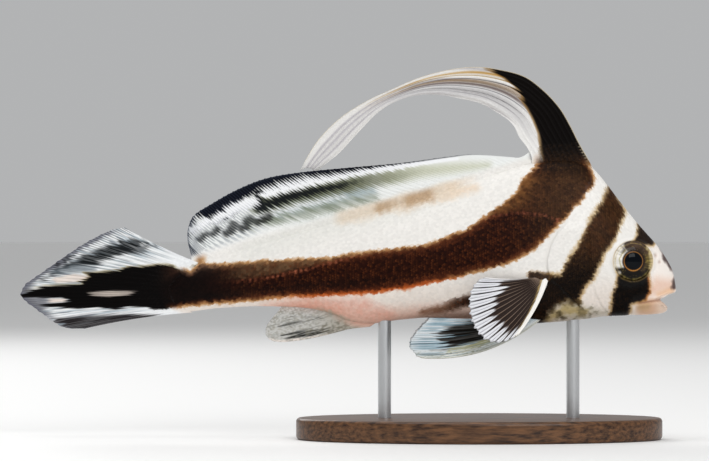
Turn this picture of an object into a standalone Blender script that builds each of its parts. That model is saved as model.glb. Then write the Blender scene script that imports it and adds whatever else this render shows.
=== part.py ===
"""Jackknife fish on a display stand, life size, holding still as it does in open water.

Run it with blender --background --python part.py, or from Blender's text editor.

The fish faces +X with its back up, and the stand's underside is at Z = 0. Outlines are given in the
side view, in millimetres: first the distance behind the snout, then the height above the axis, the
level line from the mouth to the tip of the tail. Widths are measured from the middle plane, along Y.
"""

from math import copysign, cos, hypot, pi, sin

import bmesh
import bpy
from mathutils import Vector

# Driving sizes, in millimetres
MM = 0.001
TOTAL_LENGTH = 150.2
AXIS_HEIGHT = 34.3
GAP = 0.3
RIGHT, LEFT = -1, 1

# Profiles of the body: (behind the snout, above the axis)
BACK = [
    (0, 2.2), (0.4, 3.8), (1.3, 5.9), (3.8, 9.8), (8.3, 14.9), (12.9, 20.6), (17.5, 26.5), (19.3, 28.3),
    (22.1, 29.5), (25.5, 29.9), (31.9, 29.3), (40.4, 27.0), (51.8, 23.3), (74.6, 16.8), (97.5, 10.1),
    (108.9, 6.4), (113.5, 5.4), (124, 4.6),
]
BELLY = [
    (0, 0.2), (0.3, -1.0), (0.9, -2.8), (1.5, -4.3), (3.1, -5.5), (6.1, -5.8), (15.2, -6.1), (22.1, -7.0),
    (31.2, -7.7), (35.8, -7.8), (47.2, -6.8), (56.4, -6.5), (63.2, -7.0), (70.5, -7.9), (74.6, -7.3),
    (79.8, -5.3), (86.1, -4.2), (95.2, -3.9), (104.4, -4.3), (113.5, -5.3), (124, -5.5),
]
# Half of the body's width, and the height at which it is widest
HALF_WIDTH = [
    (0, 1.2), (0.4, 2.0), (1.3, 2.9), (3.8, 4.2), (8, 5.5), (12, 6.3), (18, 7.0), (25, 7.3), (32, 7.1),
    (42, 6.5), (54, 5.7), (66, 4.8), (78, 3.8), (88, 3.0), (98, 2.4), (109, 1.7), (116, 1.25), (124, 0.7),
]
WIDEST = [(0, 1.0), (4, 2.4), (10, 5.3), (20, 5.2), (32, 5.0), (60, 5.5), (86, 4.2), (109, 0.9), (124, -0.4)]
# How square the section is: its exponents in height and in width, above and below the widest place
UPPER_SECTION = (1.65, 1.8)
LOWER_SECTION = (2.4, 2.2)
AROUND = 32

# The head ends at this line, which is the gill opening's edge from low on the throat to above the cover:
# (above the axis, behind the snout)
HEAD_END = [
    (-9, 14.5), (-6.3, 16.6), (-5.3, 19.3), (-3.4, 22.3), (-1.4, 24.3), (0.9, 26.6), (3.0, 28.9),
    (5.7, 29.7), (9.1, 29.1), (12.6, 27.5), (15.1, 25.3), (21.5, 21.2), (28, 18.1), (33, 17.4),
]
# The gill cover's edge from where it leaves that line at the top, forward and down to the throat
COVER_TOP, COVER_LOW = 13.4, -4.9
COVER_FRONT = [
    (26.1, 14.5), (24.6, 15.4), (22.8, 15.6), (21.2, 14.7), (20.3, 12.6), (20.2, 9.6), (20.2, 6.0),
    (19.7, 2.3), (18.6, -1.2), (17.3, -3.6), (17.4, -4.8), (18.5, -5.2),
]
COVER_THICKNESS = 1.1
COVER_RISE = 0.55
COVER_REACH = 9.0
STALK_START = 98.0
FLESH_END = [(109.9, 7.2), (112.2, 4.9), (115.2, 2.6), (116.6, 0.2), (115.9, -2.4), (113.7, -4.6), (111.9, -6.4)]

# Mouth: the corner that shows, and where the mouth's line ends on the cheek
MOUTH_NOTCH = (3.5, -2.1)
MOUTH_END = (9.3, -3.0)
JAW_JOINT = (10.6, -4.4)
LIP_RADIUS = 0.55

# Eye: an ellipsoid, by its middle, its half axes across the side view and along Y, and its turn forward
EYE_AT = (10.1, 6.6)
EYE_OUT = 4.75
EYE_RADIUS = 4.9
EYE_DEPTH = 2.3
EYE_LEAN = 0.2
PUPIL_RADIUS = 2.1
PUPIL_RISE = 0.35
NOSTRILS = [((4.75, 7.9), 0.5), ((3.85, 6.4), 0.42)]

# Half thickness of a fin's membrane, and how far a ray stands out of each face
MEMBRANE = 0.25
RAY = 0.22
EDGE = 0.2

# First dorsal fin: its leading and trailing edges from the back to the tip, in matching places
DORSAL_LEADING = [
    (17.9, 25.6), (19.8, 29.5), (22.1, 33.6), (24.3, 38.0), (26.6, 41.8), (30.1, 45.6), (34.6, 48.9),
    (40.4, 50.5), (46.1, 51.1), (52.2, 50.4), (58.6, 48.7), (64.8, 46.1), (71.0, 43.2), (76.9, 39.4),
    (81.5, 34.9), (84.2, 30.9), (86.1, 27.4),
]
DORSAL_TRAILING = [
    (33.0, 27.4), (32.9, 30.2), (34.0, 32.6), (35.8, 35.0), (36.9, 37.3), (38.7, 39.2), (41.7, 41.1),
    (44.9, 42.8), (49.0, 43.8), (54.1, 44.7), (59.3, 44.6), (64.1, 43.2), (68.2, 40.7), (72.4, 36.5),
    (76.9, 31.6), (80.4, 28.7), (82.8, 26.7),
]
DORSAL_LENGTHS = [("root", 0.0, 4.0, 7), ("crown", 4.0, 7.5, 5), ("arch", 7.5, 11.5, 6), ("tip", 11.5, 16.0, 7)]
DORSAL_RAYS = 8
DORSAL_ROOT_HALF = 1.0
DORSAL_TIP_ASIDE = 1.7

# The other fins: the edge from the front ray's tip to the last ray's tip
SECOND_DORSAL_ROOT = (33.6, 110.3)
SECOND_DORSAL_EDGE = [
    (34.6, 29.9), (38.4, 30.5), (46.1, 31.1), (51.8, 30.6), (63.2, 29.1), (74.6, 28.1), (86.1, 27.0),
    (94.1, 25.6), (100.9, 22.9), (106.6, 19.7), (110.5, 17.1), (111.8, 14.2), (111.9, 11.3), (111.1, 8.0),
]
ANAL_ROOT = (72.2, 90.0)
ANAL_EDGE = [
    (75.0, -8.9), (79.2, -10.1), (83.8, -11.2), (90.6, -12.0), (93.2, -11.4), (94.1, -9.6), (93.4, -7.6),
    (90.8, -4.5),
]
CAUDAL_EDGE = [
    (126.3, 14.3), (129.5, 13.7), (135.2, 10.9), (145.5, 3.9), (149.5, 0.4), (150.2, -0.9), (149.6, -2.1),
    (142.1, -7.8), (139.5, -8.8), (135.5, -8.9),
]
PECTORAL_ROOT = [(31.2, 2.5), (29.6, 1.3)]
PECTORAL_EDGE = [
    (43.9, 3.0), (45.8, 2.2), (47.2, 0.3), (47.8, -2.0), (47.7, -4.9), (46.7, -8.3), (44.6, -10.9),
    (42.2, -11.8), (40.3, -11.7), (38.4, -11.0),
]
PELVIC_ROOT = [(31.3, -6.9), (34.6, -6.6)]
PELVIC_EDGE = [(57.6, -15.5), (59.2, -15.2), (60.9, -13.3), (60.9, -11.7), (59.6, -9.6), (56.6, -6.4)]

# Stand
BASE_MIDDLE = 45.0
BASE_LENGTH = 84.0
BASE_WIDTH = 46.0
BASE_THICKNESS = 5.0
BASE_BEVEL = 0.9
ROD_RADIUS = 1.5
ROD_PLACES = {"stand_rod_front": 23.5, "stand_rod_rear": 66.7}
SOCKET_DEPTH = 3.0


# Curves and outlines


def profile(points):
    """A smooth curve through points given in rising order, which never swings past them."""
    xs = [p[0] for p in points]
    ys = [p[1] for p in points]
    steps = [(ys[i + 1] - ys[i]) / (xs[i + 1] - xs[i]) for i in range(len(xs) - 1)]
    slopes = [steps[0]]
    for before, after in zip(steps, steps[1:]):
        slopes.append(2 * before * after / (before + after) if before * after > 0 else 0.0)
    slopes.append(steps[-1])

    def at(x):
        x = min(max(x, xs[0]), xs[-1])
        i = max(k for k in range(len(xs) - 1) if xs[k] <= x)
        width = xs[i + 1] - xs[i]
        t = (x - xs[i]) / width
        return (
            ys[i] * (1 + 2 * t) * (1 - t) ** 2
            + slopes[i] * width * t * (1 - t) ** 2
            + ys[i + 1] * t * t * (3 - 2 * t)
            + slopes[i + 1] * width * t * t * (t - 1)
        )

    return at


def through(points):
    """A smooth path through the points. Its place runs from 0 at the first to len - 1 at the last."""
    knots = [Vector(p) for p in points]
    knots = [2 * knots[0] - knots[1], *knots, 2 * knots[-1] - knots[-2]]

    def at(place):
        place = min(max(place, 0.0), len(points) - 1.0)
        i = min(int(place), len(points) - 2)
        t = place - i
        a, b, c, d = knots[i : i + 4]
        return 0.5 * (2 * b + (c - a) * t + (2 * a - 5 * b + 4 * c - d) * t**2 + (3 * b - a - 3 * c + d) * t**3)

    return at


def by_length(points, steps=200):
    """The same smooth path, with its place given as a share of its length from 0 to 1."""
    path = through(points)
    places = [path((len(points) - 1) * i / steps) for i in range(steps + 1)]
    run = [0.0]
    for a, b in zip(places, places[1:]):
        run.append(run[-1] + (b - a).length)

    def at(share):
        goal = min(max(share, 0.0), 1.0) * run[-1]
        i = min(max(k for k in range(steps + 1) if run[k] <= goal), steps - 1)
        return places[i].lerp(places[i + 1], (goal - run[i]) / (run[i + 1] - run[i]))

    return at


def set_off(line, distance, closed=False):
    """A line of side-view points moved sideways, to its left for a positive distance."""
    moved = []
    for i, here in enumerate(line):
        before = line[i - 1 if closed else max(i - 1, 0)]
        after = line[(i + 1) % len(line) if closed else min(i + 1, len(line) - 1)]
        along = (Vector(after) - Vector(before)).normalized()
        moved.append((here[0] - along.y * distance, here[1] + along.x * distance))
    return moved


back = profile(BACK)
belly = profile(BELLY)
half_width = profile(HALF_WIDTH)
widest = profile(WIDEST)
head_end = profile(HEAD_END)


def cover_rise(behind, above):
    """How far the gill cover stands out of the flank: most at its rear edge."""
    ahead = head_end(above) - behind
    if not 0 <= ahead < COVER_REACH:
        return 0.0
    return COVER_RISE * (1 - ahead / COVER_REACH) ** 2


def flank(behind, above):
    """Half of the body's width at a place of the side view."""
    top, low, middle = back(behind), belly(behind), widest(behind)
    high = above >= middle
    share = (above - middle) / (top - middle) if high else (middle - above) / (middle - low)
    tall, wide = UPPER_SECTION if high else LOWER_SECTION
    return half_width(behind) * max(0.0, 1 - share**tall) ** (1 / wide)


# Meshes


def place(behind, above, across):
    """A place on the fish, in millimetres, as a point of the model, in metres."""
    return Vector((TOTAL_LENGTH / 2 - behind, across, AXIS_HEIGHT + above)) * MM


def add_mesh(name, points, faces):
    """A closed mesh through places on the fish, facing out."""
    mesh = bpy.data.meshes.new(name)
    mesh.from_pydata([place(*p) for p in points], [], faces)
    form = bmesh.new()
    form.from_mesh(mesh)
    bmesh.ops.recalc_face_normals(form, faces=form.faces)
    form.to_mesh(mesh)
    form.free()
    thing = bpy.data.objects.new(name, mesh)
    bpy.context.scene.collection.objects.link(thing)
    return thing


def rings_to_mesh(name, rings, closed=False):
    """A tube through rings of equally many points, with its ends filled unless it closes on itself."""
    count = len(rings[0])
    points = [p for ring in rings for p in ring]
    faces = []
    for i in range(len(rings) if closed else len(rings) - 1):
        near, far = i * count, (i + 1) % len(rings) * count
        for k in range(count):
            n = (k + 1) % count
            faces.append((near + k, near + n, far + n, far + k))
    if not closed:
        faces.append(tuple(range(count)))
        faces.append(tuple(range(len(points) - count, len(points))))
    return add_mesh(name, points, faces)


def body_ring(behind, grow, rise):
    """One section of the body, from the back's crest round the left side and the belly."""
    middle, wide_half = widest(behind), half_width(behind) + grow
    ring = []
    for k in range(AROUND):
        turn = 2 * pi * k / AROUND
        up, out = cos(turn), sin(turn)
        reach = back(behind) + grow - middle if up >= 0 else middle - belly(behind) + grow
        tall, wide = UPPER_SECTION if up >= 0 else LOWER_SECTION
        above = middle + copysign(abs(up) ** (2 / tall) * reach, up)
        across = abs(out) ** (2 / wide) * wide_half
        if rise and across > 1:
            across += rise(behind, above)
        ring.append((behind, above, copysign(across, out)))
    return ring


def body_length(name, stations, grow=0.0, rise=None):
    """A length of the body through its sections at the stations."""
    return rings_to_mesh(name, [body_ring(s, grow, rise) for s in stations])


def prism(name, outline, half=20.0):
    """A block with an outline of the side view, reaching the same way to both sides."""
    count = len(outline)
    points = [(s, h, side * half) for side in (RIGHT, LEFT) for s, h in outline]
    faces = [tuple(range(count)), tuple(range(count, 2 * count))]
    for k in range(count):
        n = (k + 1) % count
        faces.append((k, n, count + n, count + k))
    return add_mesh(name, points, faces)


def tube(name, path, radii, sides, reference, closed=False):
    """A round bar along a path, square to it. The reference is a direction that the path never takes."""
    rings = []
    last = len(path) - 1
    for i, here in enumerate(path):
        before = path[i - 1] if i or closed else here
        after = path[(i + 1) % len(path)] if i < last or closed else here
        along = (Vector(after) - Vector(before)).normalized()
        side = along.cross(Vector(reference)).normalized()
        up = side.cross(along)
        rings.append([])
        for k in range(sides):
            turn = 2 * pi * k / sides
            rings[-1].append(Vector(here) + (side * cos(turn) + up * sin(turn)) * radii[i])
    return rings_to_mesh(name, rings, closed)


def ellipsoid(name, middle, halves, around=20, rows=10, lean=0.0):
    """A ball stretched along the fish's directions, by its middle and half axes, leaning out to the rear."""
    points = [(middle[0], middle[1], middle[2] + halves[2])]
    for i in range(1, rows):
        for k in range(around):
            down, turn = pi * i / rows, 2 * pi * k / around
            points.append(
                (
                    middle[0] + halves[0] * sin(down) * cos(turn),
                    middle[1] + halves[1] * sin(down) * sin(turn),
                    middle[2] + halves[2] * cos(down) + lean * halves[0] * sin(down) * cos(turn),
                )
            )
    points.append((middle[0], middle[1], middle[2] - halves[2]))
    faces = []
    for k in range(around):
        n = (k + 1) % around
        faces.append((0, 1 + k, 1 + n))
        for i in range(rows - 2):
            row, below = 1 + i * around, 1 + (i + 1) * around
            faces.append((row + k, below + k, below + n, row + n))
        faces.append((len(points) - 1, 1 + (rows - 2) * around + n, 1 + (rows - 2) * around + k))
    return add_mesh(name, points, faces)


def sheet(name, middle, half, across, along):
    """A thin closed form round a surface, with both faces split into triangles alike.

    middle(u, v) and half(u, v) give its middle and its half thickness, with u from the root at 0 to
    the edge at 1, and v across the rays.
    """
    small = 0.01
    fronts, backs = [], []
    for i in range(along + 1):
        for j in range(across + 1):
            u, v = i / along, j / across
            out = Vector(middle(min(u + small, 1), v)) - Vector(middle(max(u - small, 0), v))
            over = Vector(middle(u, min(v + small, 1))) - Vector(middle(u, max(v - small, 0)))
            step = out.cross(over).normalized() * half(u, v)
            fronts.append(Vector(middle(u, v)) + step)
            backs.append(Vector(middle(u, v)) - step)
    wide, shift = across + 1, len(fronts)
    faces = []
    for i in range(along):
        for j in range(across):
            a, b = i * wide + j, i * wide + j + 1
            c, d = b + wide, a + wide
            faces += [(a, b, c), (a, c, d), (c + shift, b + shift, a + shift), (d + shift, c + shift, a + shift)]
    border = [j for j in range(across)]
    border += [i * wide + across for i in range(along)]
    border += [along * wide + j for j in range(across, 0, -1)]
    border += [i * wide for i in range(along, 0, -1)]
    for a, b in zip(border, border[1:] + border[:1]):
        faces += [(a, b, b + shift), (a, b + shift, a + shift)]
    return add_mesh(name, fronts + backs, faces)


# Joining, cutting and finishing


def settle(thing):
    """Makes the shape that the modifiers give the object's own mesh."""
    shown = thing.evaluated_get(bpy.context.evaluated_depsgraph_get())
    mesh = bpy.data.meshes.new_from_object(shown)
    thing.modifiers.clear()
    thing.data = mesh


def boolean(thing, tool, operation, keep=False, solver="EXACT"):
    modifier = thing.modifiers.new(operation.title(), "BOOLEAN")
    modifier.operation = operation
    modifier.solver = solver
    modifier.object = tool
    settle(thing)
    if not keep:
        bpy.data.objects.remove(tool)


def cut(thing, tool):
    boolean(thing, tool, "DIFFERENCE")


def crop(thing, tool):
    boolean(thing, tool, "INTERSECT")


def clear_body(thing, clearance):
    """Cuts away what lies within the body or in the gap round it."""
    boolean(thing, clearance, "DIFFERENCE", keep=True, solver="MANIFOLD")


def join(thing, pieces):
    """One union of the object with all of the pieces, which are then removed."""
    group = bpy.data.collections.new("pieces")
    bpy.context.scene.collection.children.link(group)
    for piece in pieces:
        bpy.context.scene.collection.objects.unlink(piece)
        group.objects.link(piece)
    modifier = thing.modifiers.new("Union", "BOOLEAN")
    modifier.operation = "UNION"
    modifier.solver = "EXACT"
    modifier.operand_type = "COLLECTION"
    modifier.collection = group
    settle(thing)
    for piece in pieces:
        bpy.data.objects.remove(piece)
    bpy.data.collections.remove(group)


def islands(form):
    """The separate closed surfaces of a bmesh, as lists of faces, the largest volume first."""
    left = set(form.faces)
    found = []
    while left:
        queue = [left.pop()]
        island = []
        while queue:
            face = queue.pop()
            island.append(face)
            for edge in face.edges:
                for other in edge.link_faces:
                    if other in left:
                        left.remove(other)
                        queue.append(other)
        found.append(island)

    def volume(island):
        total = 0.0
        for face in island:
            corners = [v.co for v in face.verts]
            for b, c in zip(corners[1:], corners[2:]):
                total += corners[0].dot(b.cross(c)) / 6
        return abs(total)

    return sorted(found, key=volume, reverse=True)


def keep_largest(thing):
    """Drops what a union seals inside or a cut leaves loose."""
    form = bmesh.new()
    form.from_mesh(thing.data)
    for island in islands(form)[1:]:
        bmesh.ops.delete(form, geom=island, context="FACES")
    bmesh.ops.triangulate(form, faces=form.faces)
    form.to_mesh(thing.data)
    form.free()


def finish(thing, colour, roughness=0.45, metallic=0.0, crease=35.0):
    """Gives a node its largest closed surface, its own material and its shading."""
    keep_largest(thing)
    material = bpy.data.materials.new(thing.name)
    material.use_nodes = True
    shader = material.node_tree.nodes["Principled BSDF"]
    shader.inputs["Base Color"].default_value = (*colour, 1)
    shader.inputs["Roughness"].default_value = roughness
    shader.inputs["Metallic"].default_value = metallic
    thing.data.materials.clear()
    thing.data.materials.append(material)
    thing.data.shade_smooth()
    thing.data.set_sharp_from_angle(angle=crease * pi / 180)


# Head, gill covers, jaw and eyes

PALE = (0.78, 0.74, 0.68)
BROWN = (0.12, 0.06, 0.04)
FIN_WHITE = (0.80, 0.80, 0.80)


def head_outline(shift):
    """Everything ahead of the head's rear line, which is moved forward by the shift."""
    line = [(head_end(-9 + 42 * i / 36), -9 + 42 * i / 36) for i in range(37)]
    return set_off(line, shift) + [(-5, 34), (-5, -10)]


def cover_outline(grow):
    """The gill cover's outline in the side view, larger all round by grow."""
    heights = [COVER_LOW + (COVER_TOP - COVER_LOW) * i / 12 for i in range(13)]
    front = through(COVER_FRONT)
    edge = [(head_end(h), h) for h in heights]
    edge += [tuple(front(i / 2)) for i in range(2 * len(COVER_FRONT) - 1)]
    return set_off(edge, -grow, closed=True)


def jaw_outline(gap):
    """The side view below the mouth's line, moved down and forward by the gap."""
    notch, end, joint = (Vector(p) for p in (MOUTH_NOTCH, MOUTH_END, JAW_JOINT))
    drop = Vector((0, -gap))
    return [
        (-3, -9), (-3, -4.9), (1.2, -4.35 + gap), notch + Vector((-0.9, -0.95)), notch + drop,
        end + drop, joint + Vector((-gap, -gap)), (11.0 - gap, -9),
    ]


def mouth_outline():
    """The jaw's own room with the open notch in front, in the side view."""
    return [
        (-3, -9), (-3, -0.3), (0.0, -0.5), (1.3, -1.35), MOUTH_NOTCH, MOUTH_END, JAW_JOINT, (11.0, -9),
    ]


def lip_path(front, height, ends):
    """Places round the mouth from one corner to the other, just inside the skin."""
    places = [front + (ends - front) * (i / 7) ** 1.5 for i in range(8)]
    side = [(s, height(s), max(flank(s, height(s)) - 0.25, 0.0)) for s in reversed(places)]
    right = [(s, h, RIGHT * y) for s, h, y in side]
    return right + [(front - 0.35, height(front), 0)] + [(s, h, LEFT * y) for s, h, y in reversed(side)]


def lip_radii(path):
    """Full in front and fading to the mouth's corners."""
    last = len(path) - 1
    return [LIP_RADIUS * (0.45 + 0.55 * sin(pi * i / last)) for i in range(last + 1)]


def upper_lip_height(behind):
    return 0.15 - 0.5 * behind if behind < MOUTH_NOTCH[0] else -1.6 - 0.155 * (behind - MOUTH_NOTCH[0])


def lower_lip_height(behind):
    return behind - 6.3 if behind < MOUTH_NOTCH[0] else -2.8 - 0.155 * (behind - MOUTH_NOTCH[0])


def eye_ball(name, side, grow=0.0):
    """The eyeball, or the room for it."""
    halves = (EYE_RADIUS + grow, EYE_RADIUS + grow, EYE_DEPTH + grow)
    return ellipsoid(name, (*EYE_AT, side * EYE_OUT), halves, lean=side * EYE_LEAN)


def eye_rim(side):
    """The raised ring of skin round the eye, which follows the head."""
    count = 24
    path = []
    for i in range(count):
        turn = 2 * pi * i / count
        s = EYE_AT[0] + (EYE_RADIUS + 0.25) * cos(turn)
        h = EYE_AT[1] + (EYE_RADIUS + 0.25) * sin(turn)
        path.append((s, h, side * (flank(s, h) - 0.1)))
    return tube("rim", path, [0.42] * count, 6, (0, 0, 1), closed=True)


HEAD_STATIONS = [0, 0.25, 0.7, 1.3, 2.2, 3.4, 5, 6.8, 8.8, 11, 13.4, 16, 18.5, 21, 23.5, 26, 28.5, 31]


def make_head():
    skull = body_length("head", HEAD_STATIONS)
    crop(skull, prism("front", head_outline(GAP / 2)))
    core = body_length("core", HEAD_STATIONS, grow=-COVER_THICKNESS - GAP)
    room = prism("room", cover_outline(GAP / 2))
    cut(room, core)
    cut(skull, room)
    cut(skull, prism("mouth", mouth_outline()))
    path = lip_path(0.9, upper_lip_height, 8.4)
    join(skull, [tube("lip", path, lip_radii(path), 8, (0, 1, 0)), eye_rim(RIGHT), eye_rim(LEFT)])
    for side in (RIGHT, LEFT):
        cut(skull, eye_ball("socket", side, GAP))
        for (behind, above), radius in NOSTRILS:
            middle = (behind, above, side * flank(behind, above))
            cut(skull, ellipsoid("nostril", middle, (radius, radius * 1.2, 0.7), 10, 6))
    finish(skull, PALE)


def make_gill_covers():
    for name, side in (("gill_cover_right", RIGHT), ("gill_cover_left", LEFT)):
        cover = body_length(name, HEAD_STATIONS, rise=cover_rise)
        crop(cover, prism("edge", cover_outline(-GAP / 2)))
        cut(cover, body_length("core", HEAD_STATIONS, grow=-COVER_THICKNESS))
        cut(cover, other_side(side))
        finish(cover, PALE)


def other_side(side):
    """A block that fills the space on the far side of the middle plane."""
    block = prism("block", [(-10, -12), (60, -12), (60, 40), (-10, 40)])
    for vertex in block.data.vertices:
        vertex.co.y -= side * 20 * MM
    return block


def make_jaw():
    jaw = body_length("lower_jaw", HEAD_STATIONS[:11])
    crop(jaw, prism("chin", jaw_outline(GAP)))
    path = lip_path(2.6, lower_lip_height, 8.4)
    lip = tube("lip", path, lip_radii(path), 8, (0, 1, 0))
    join(jaw, [lip])
    roof = [(-3, 6), (-3, -0.9), (1.0, -2.1), (3.3, -2.4), (9.0, -3.3), (10.3, -4.7), (10.7, -9), (30, -9), (30, 6)]
    cut(jaw, prism("roof", roof))
    finish(jaw, PALE)


def make_eyes():
    for name, side in (("eye_right", RIGHT), ("eye_left", LEFT)):
        ball = eye_ball(name, side)
        crest = side * (EYE_OUT + EYE_DEPTH + PUPIL_RISE - PUPIL_RADIUS * 0.8)
        halves = (PUPIL_RADIUS, PUPIL_RADIUS, PUPIL_RADIUS * 0.8)
        join(ball, [ellipsoid("pupil", (*EYE_AT, crest), halves, 16, 8, side * EYE_LEAN)])
        finish(ball, (0.01, 0.012, 0.02), roughness=0.08)


# Trunk and tail stalk

TRUNK_STATIONS = [
    13.5, 15.5, 17.5, 19.5, 21.5, 24, 26.5, 29, 31.5, 34.5, 38, 42, 46.5, 51, 56, 61, 66, 70.5, 74.5, 79,
    84, 91, STALK_START - GAP / 2,
]
STALK_STATIONS = [STALK_START + GAP / 2, 102, 105.5, 109, 111, 113, 115, 117, 119]


def make_trunk():
    trunk = body_length("trunk", TRUNK_STATIONS)
    cut(trunk, prism("front", head_outline(-GAP / 2)))
    finish(trunk, BROWN)


def make_stalk():
    stalk = body_length("tail_stalk", STALK_STATIONS)
    line = [tuple(through(FLESH_END)(i / 3)) for i in range(3 * len(FLESH_END) - 2)]
    crop(stalk, prism("flesh", line + [(80, -12), (80, 14)]))
    finish(stalk, BROWN)


def make_clearance():
    """The whole body grown by a little over the gap, for cutting what grows from it."""
    stations = HEAD_STATIONS + TRUNK_STATIONS[9:] + STALK_STATIONS[1:]
    return body_length("clearance", stations, grow=GAP + 0.05)


# Fins


def ray_ridge(v, rays):
    """1 on a ray and 0 half way to the next."""
    return 0.5 + 0.5 * cos(2 * pi * v * (rays - 1))


def thickness(root_half, reach, rays):
    """The half thickness of a fin: full at its root, then the membrane and its rays, thin at the edge."""

    def half(u, v):
        root = max(0.0, 1 - u / reach) ** 2
        blade = MEMBRANE + RAY * ray_ridge(v, rays)
        worn = max(0.0, (u - 0.75) / 0.25)
        return blade + (root_half - blade) * root + (EDGE - blade) * worn**2

    return half


def fan(root, edge, bow, lateral, edge_share=1.0):
    """A fin's middle surface: rays from the root line to the edge, bowed upward in the side view."""
    rim = by_length(edge)

    def middle(u, v):
        start = root(v)
        tip = rim(v**edge_share)
        span = tip - start
        square = Vector((-span.y, span.x)) * bow(v) * 4 * u * (1 - u)
        here = start.lerp(tip, u) + square
        return (here.x, here.y, lateral(u, v))

    return middle


def flat(u, v):
    return 0.0


def make_first_dorsal(clearance):
    """The long front fin in four lengths, from the nape over the arch to the tip beside the back fin."""
    leading, trailing = through(DORSAL_LEADING), through(DORSAL_TRAILING)
    last = len(DORSAL_LEADING) - 1
    for label, start, end, rows in DORSAL_LENGTHS:
        trim = 0.06

        def middle(u, v, start=start, end=end):
            low = start + trim * (start > 0)
            at = low + (end - trim * (end < last) - low) * u
            here = leading(at).lerp(trailing(at), v)
            aside = DORSAL_TIP_ASIDE * max(0.0, (at - 6) / (last - 6)) ** 1.3
            return (here.x, here.y, aside)

        def half(u, v, start=start, end=end):
            at = start + (end - start) * u
            blade = MEMBRANE + RAY * ray_ridge(v, DORSAL_RAYS)
            return blade + (DORSAL_ROOT_HALF - blade) * max(0.0, 1 - at / 4.5) ** 1.5

        fin = sheet(f"first_dorsal_{label}", middle, half, 2 * (DORSAL_RAYS - 1), rows)
        if start == 0:
            clear_body(fin, clearance)
        finish(fin, BROWN if label == "root" else FIN_WHITE)


def make_second_dorsal(clearance):
    rays = 34
    front, rear = SECOND_DORSAL_ROOT

    def root(v):
        behind = front + (rear - front) * v
        return Vector((behind, back(behind) - 1.1))

    middle = fan(root, SECOND_DORSAL_EDGE, lambda v: -0.05, flat, edge_share=0.87)
    fin = sheet("second_dorsal_fin", middle, thickness(0.9, 0.3, rays), 2 * (rays - 1), 5)
    clear_body(fin, clearance)
    finish(fin, FIN_WHITE)


def make_anal(clearance):
    rays = 9
    front, rear = ANAL_ROOT

    def root(v):
        behind = front + (rear - front) * v
        return Vector((behind, belly(behind) + 1.0))

    middle = fan(root, ANAL_EDGE, lambda v: -0.03, flat, edge_share=1.25)
    fin = sheet("anal_fin", middle, thickness(0.9, 0.35, rays), 2 * (rays - 1), 5)
    clear_body(fin, clearance)
    finish(fin, FIN_WHITE)


def make_caudal():
    rays = 17
    line = [tuple(through(FLESH_END)(i / 3)) for i in range(3 * len(FLESH_END) - 2)]
    start = by_length(set_off(line, GAP)[1:-1])
    blade = thickness(0.5, 0.3, rays)
    middle = fan(start, CAUDAL_EDGE, lambda v: 0.02 * (2 * v - 1), flat)

    def half(u, v):
        behind, above, _ = middle(u, v)
        flesh = flank(min(behind, 124), above) * max(0.0, 1 - max(0.0, behind - 113) / 14) ** 1.5
        return hypot(flesh, blade(u, v))

    finish(sheet("caudal_fin", middle, half, 2 * (rays - 1), 8), BROWN)


def make_paired(name, side, clearance, root_line, edge, rays, bow, out):
    """A paired fin, from its root line inside the flesh. out(u, v) is its distance from the middle."""
    upper, lower = (Vector(p) for p in root_line)
    middle = fan(lambda v: upper.lerp(lower, v), edge, bow, lambda u, v: side * out(u, v))
    fin = sheet(name, middle, thickness(0.75, 0.25, rays), 2 * (rays - 1), 6)
    clear_body(fin, clearance)
    finish(fin, FIN_WHITE)


def pectoral_out(u, v):
    """The fan leaves the flank and leans out, most at its lower, leading rays."""
    upper, lower = (Vector(p) for p in PECTORAL_ROOT)
    start = upper.lerp(lower, v)
    return flank(start.x, start.y) - 0.9 + (4.2 + 4.3 * v) * u**0.85


def pelvic_out(u, v):
    return 2.3 + 1.0 * v * (1 - u) + 4.4 * u**0.8


def make_paired_fins(clearance):
    for word, side in (("right", RIGHT), ("left", LEFT)):
        make_paired(
            f"pectoral_fin_{word}", side, clearance, PECTORAL_ROOT, PECTORAL_EDGE, 14,
            lambda v: -0.03 - 0.06 * v, pectoral_out,
        )
        make_paired(
            f"pelvic_fin_{word}", side, clearance, PELVIC_ROOT, PELVIC_EDGE, 8,
            lambda v: -0.10 * (1 - v), pelvic_out,
        )


# Stand


def disc(name, middle, low, high, radius, wide, sides):
    """An upright oval block, by the place of its middle behind the snout and its heights off the floor."""
    rings = []
    for level in (low, high):
        rings.append([])
        for k in range(sides):
            turn = 2 * pi * k / sides
            rings[-1].append((middle + radius * cos(turn), level - AXIS_HEIGHT, wide * sin(turn)))
    return rings_to_mesh(name, rings)


def make_stand(clearance):
    base = disc("stand_base", BASE_MIDDLE, 0, BASE_THICKNESS, BASE_LENGTH / 2, BASE_WIDTH / 2, 48)
    bevel = base.modifiers.new("Bevel", "BEVEL")
    bevel.width = BASE_BEVEL * MM
    bevel.segments = 2
    bevel.limit_method = "ANGLE"
    bevel.angle_limit = 60 * pi / 180
    settle(base)
    floor = BASE_THICKNESS - SOCKET_DEPTH
    for name, behind in ROD_PLACES.items():
        wide = ROD_RADIUS + GAP
        cut(base, disc("socket", behind, floor, BASE_THICKNESS + 5, wide, wide, 20))
        rod = disc(name, behind, floor + GAP, AXIS_HEIGHT, ROD_RADIUS, ROD_RADIUS, 20)
        clear_body(rod, clearance)
        keep_lowest(rod)
        finish(rod, (0.55, 0.55, 0.56), roughness=0.3, metallic=1.0)
    finish(base, (0.10, 0.05, 0.03), roughness=0.4)


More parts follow.
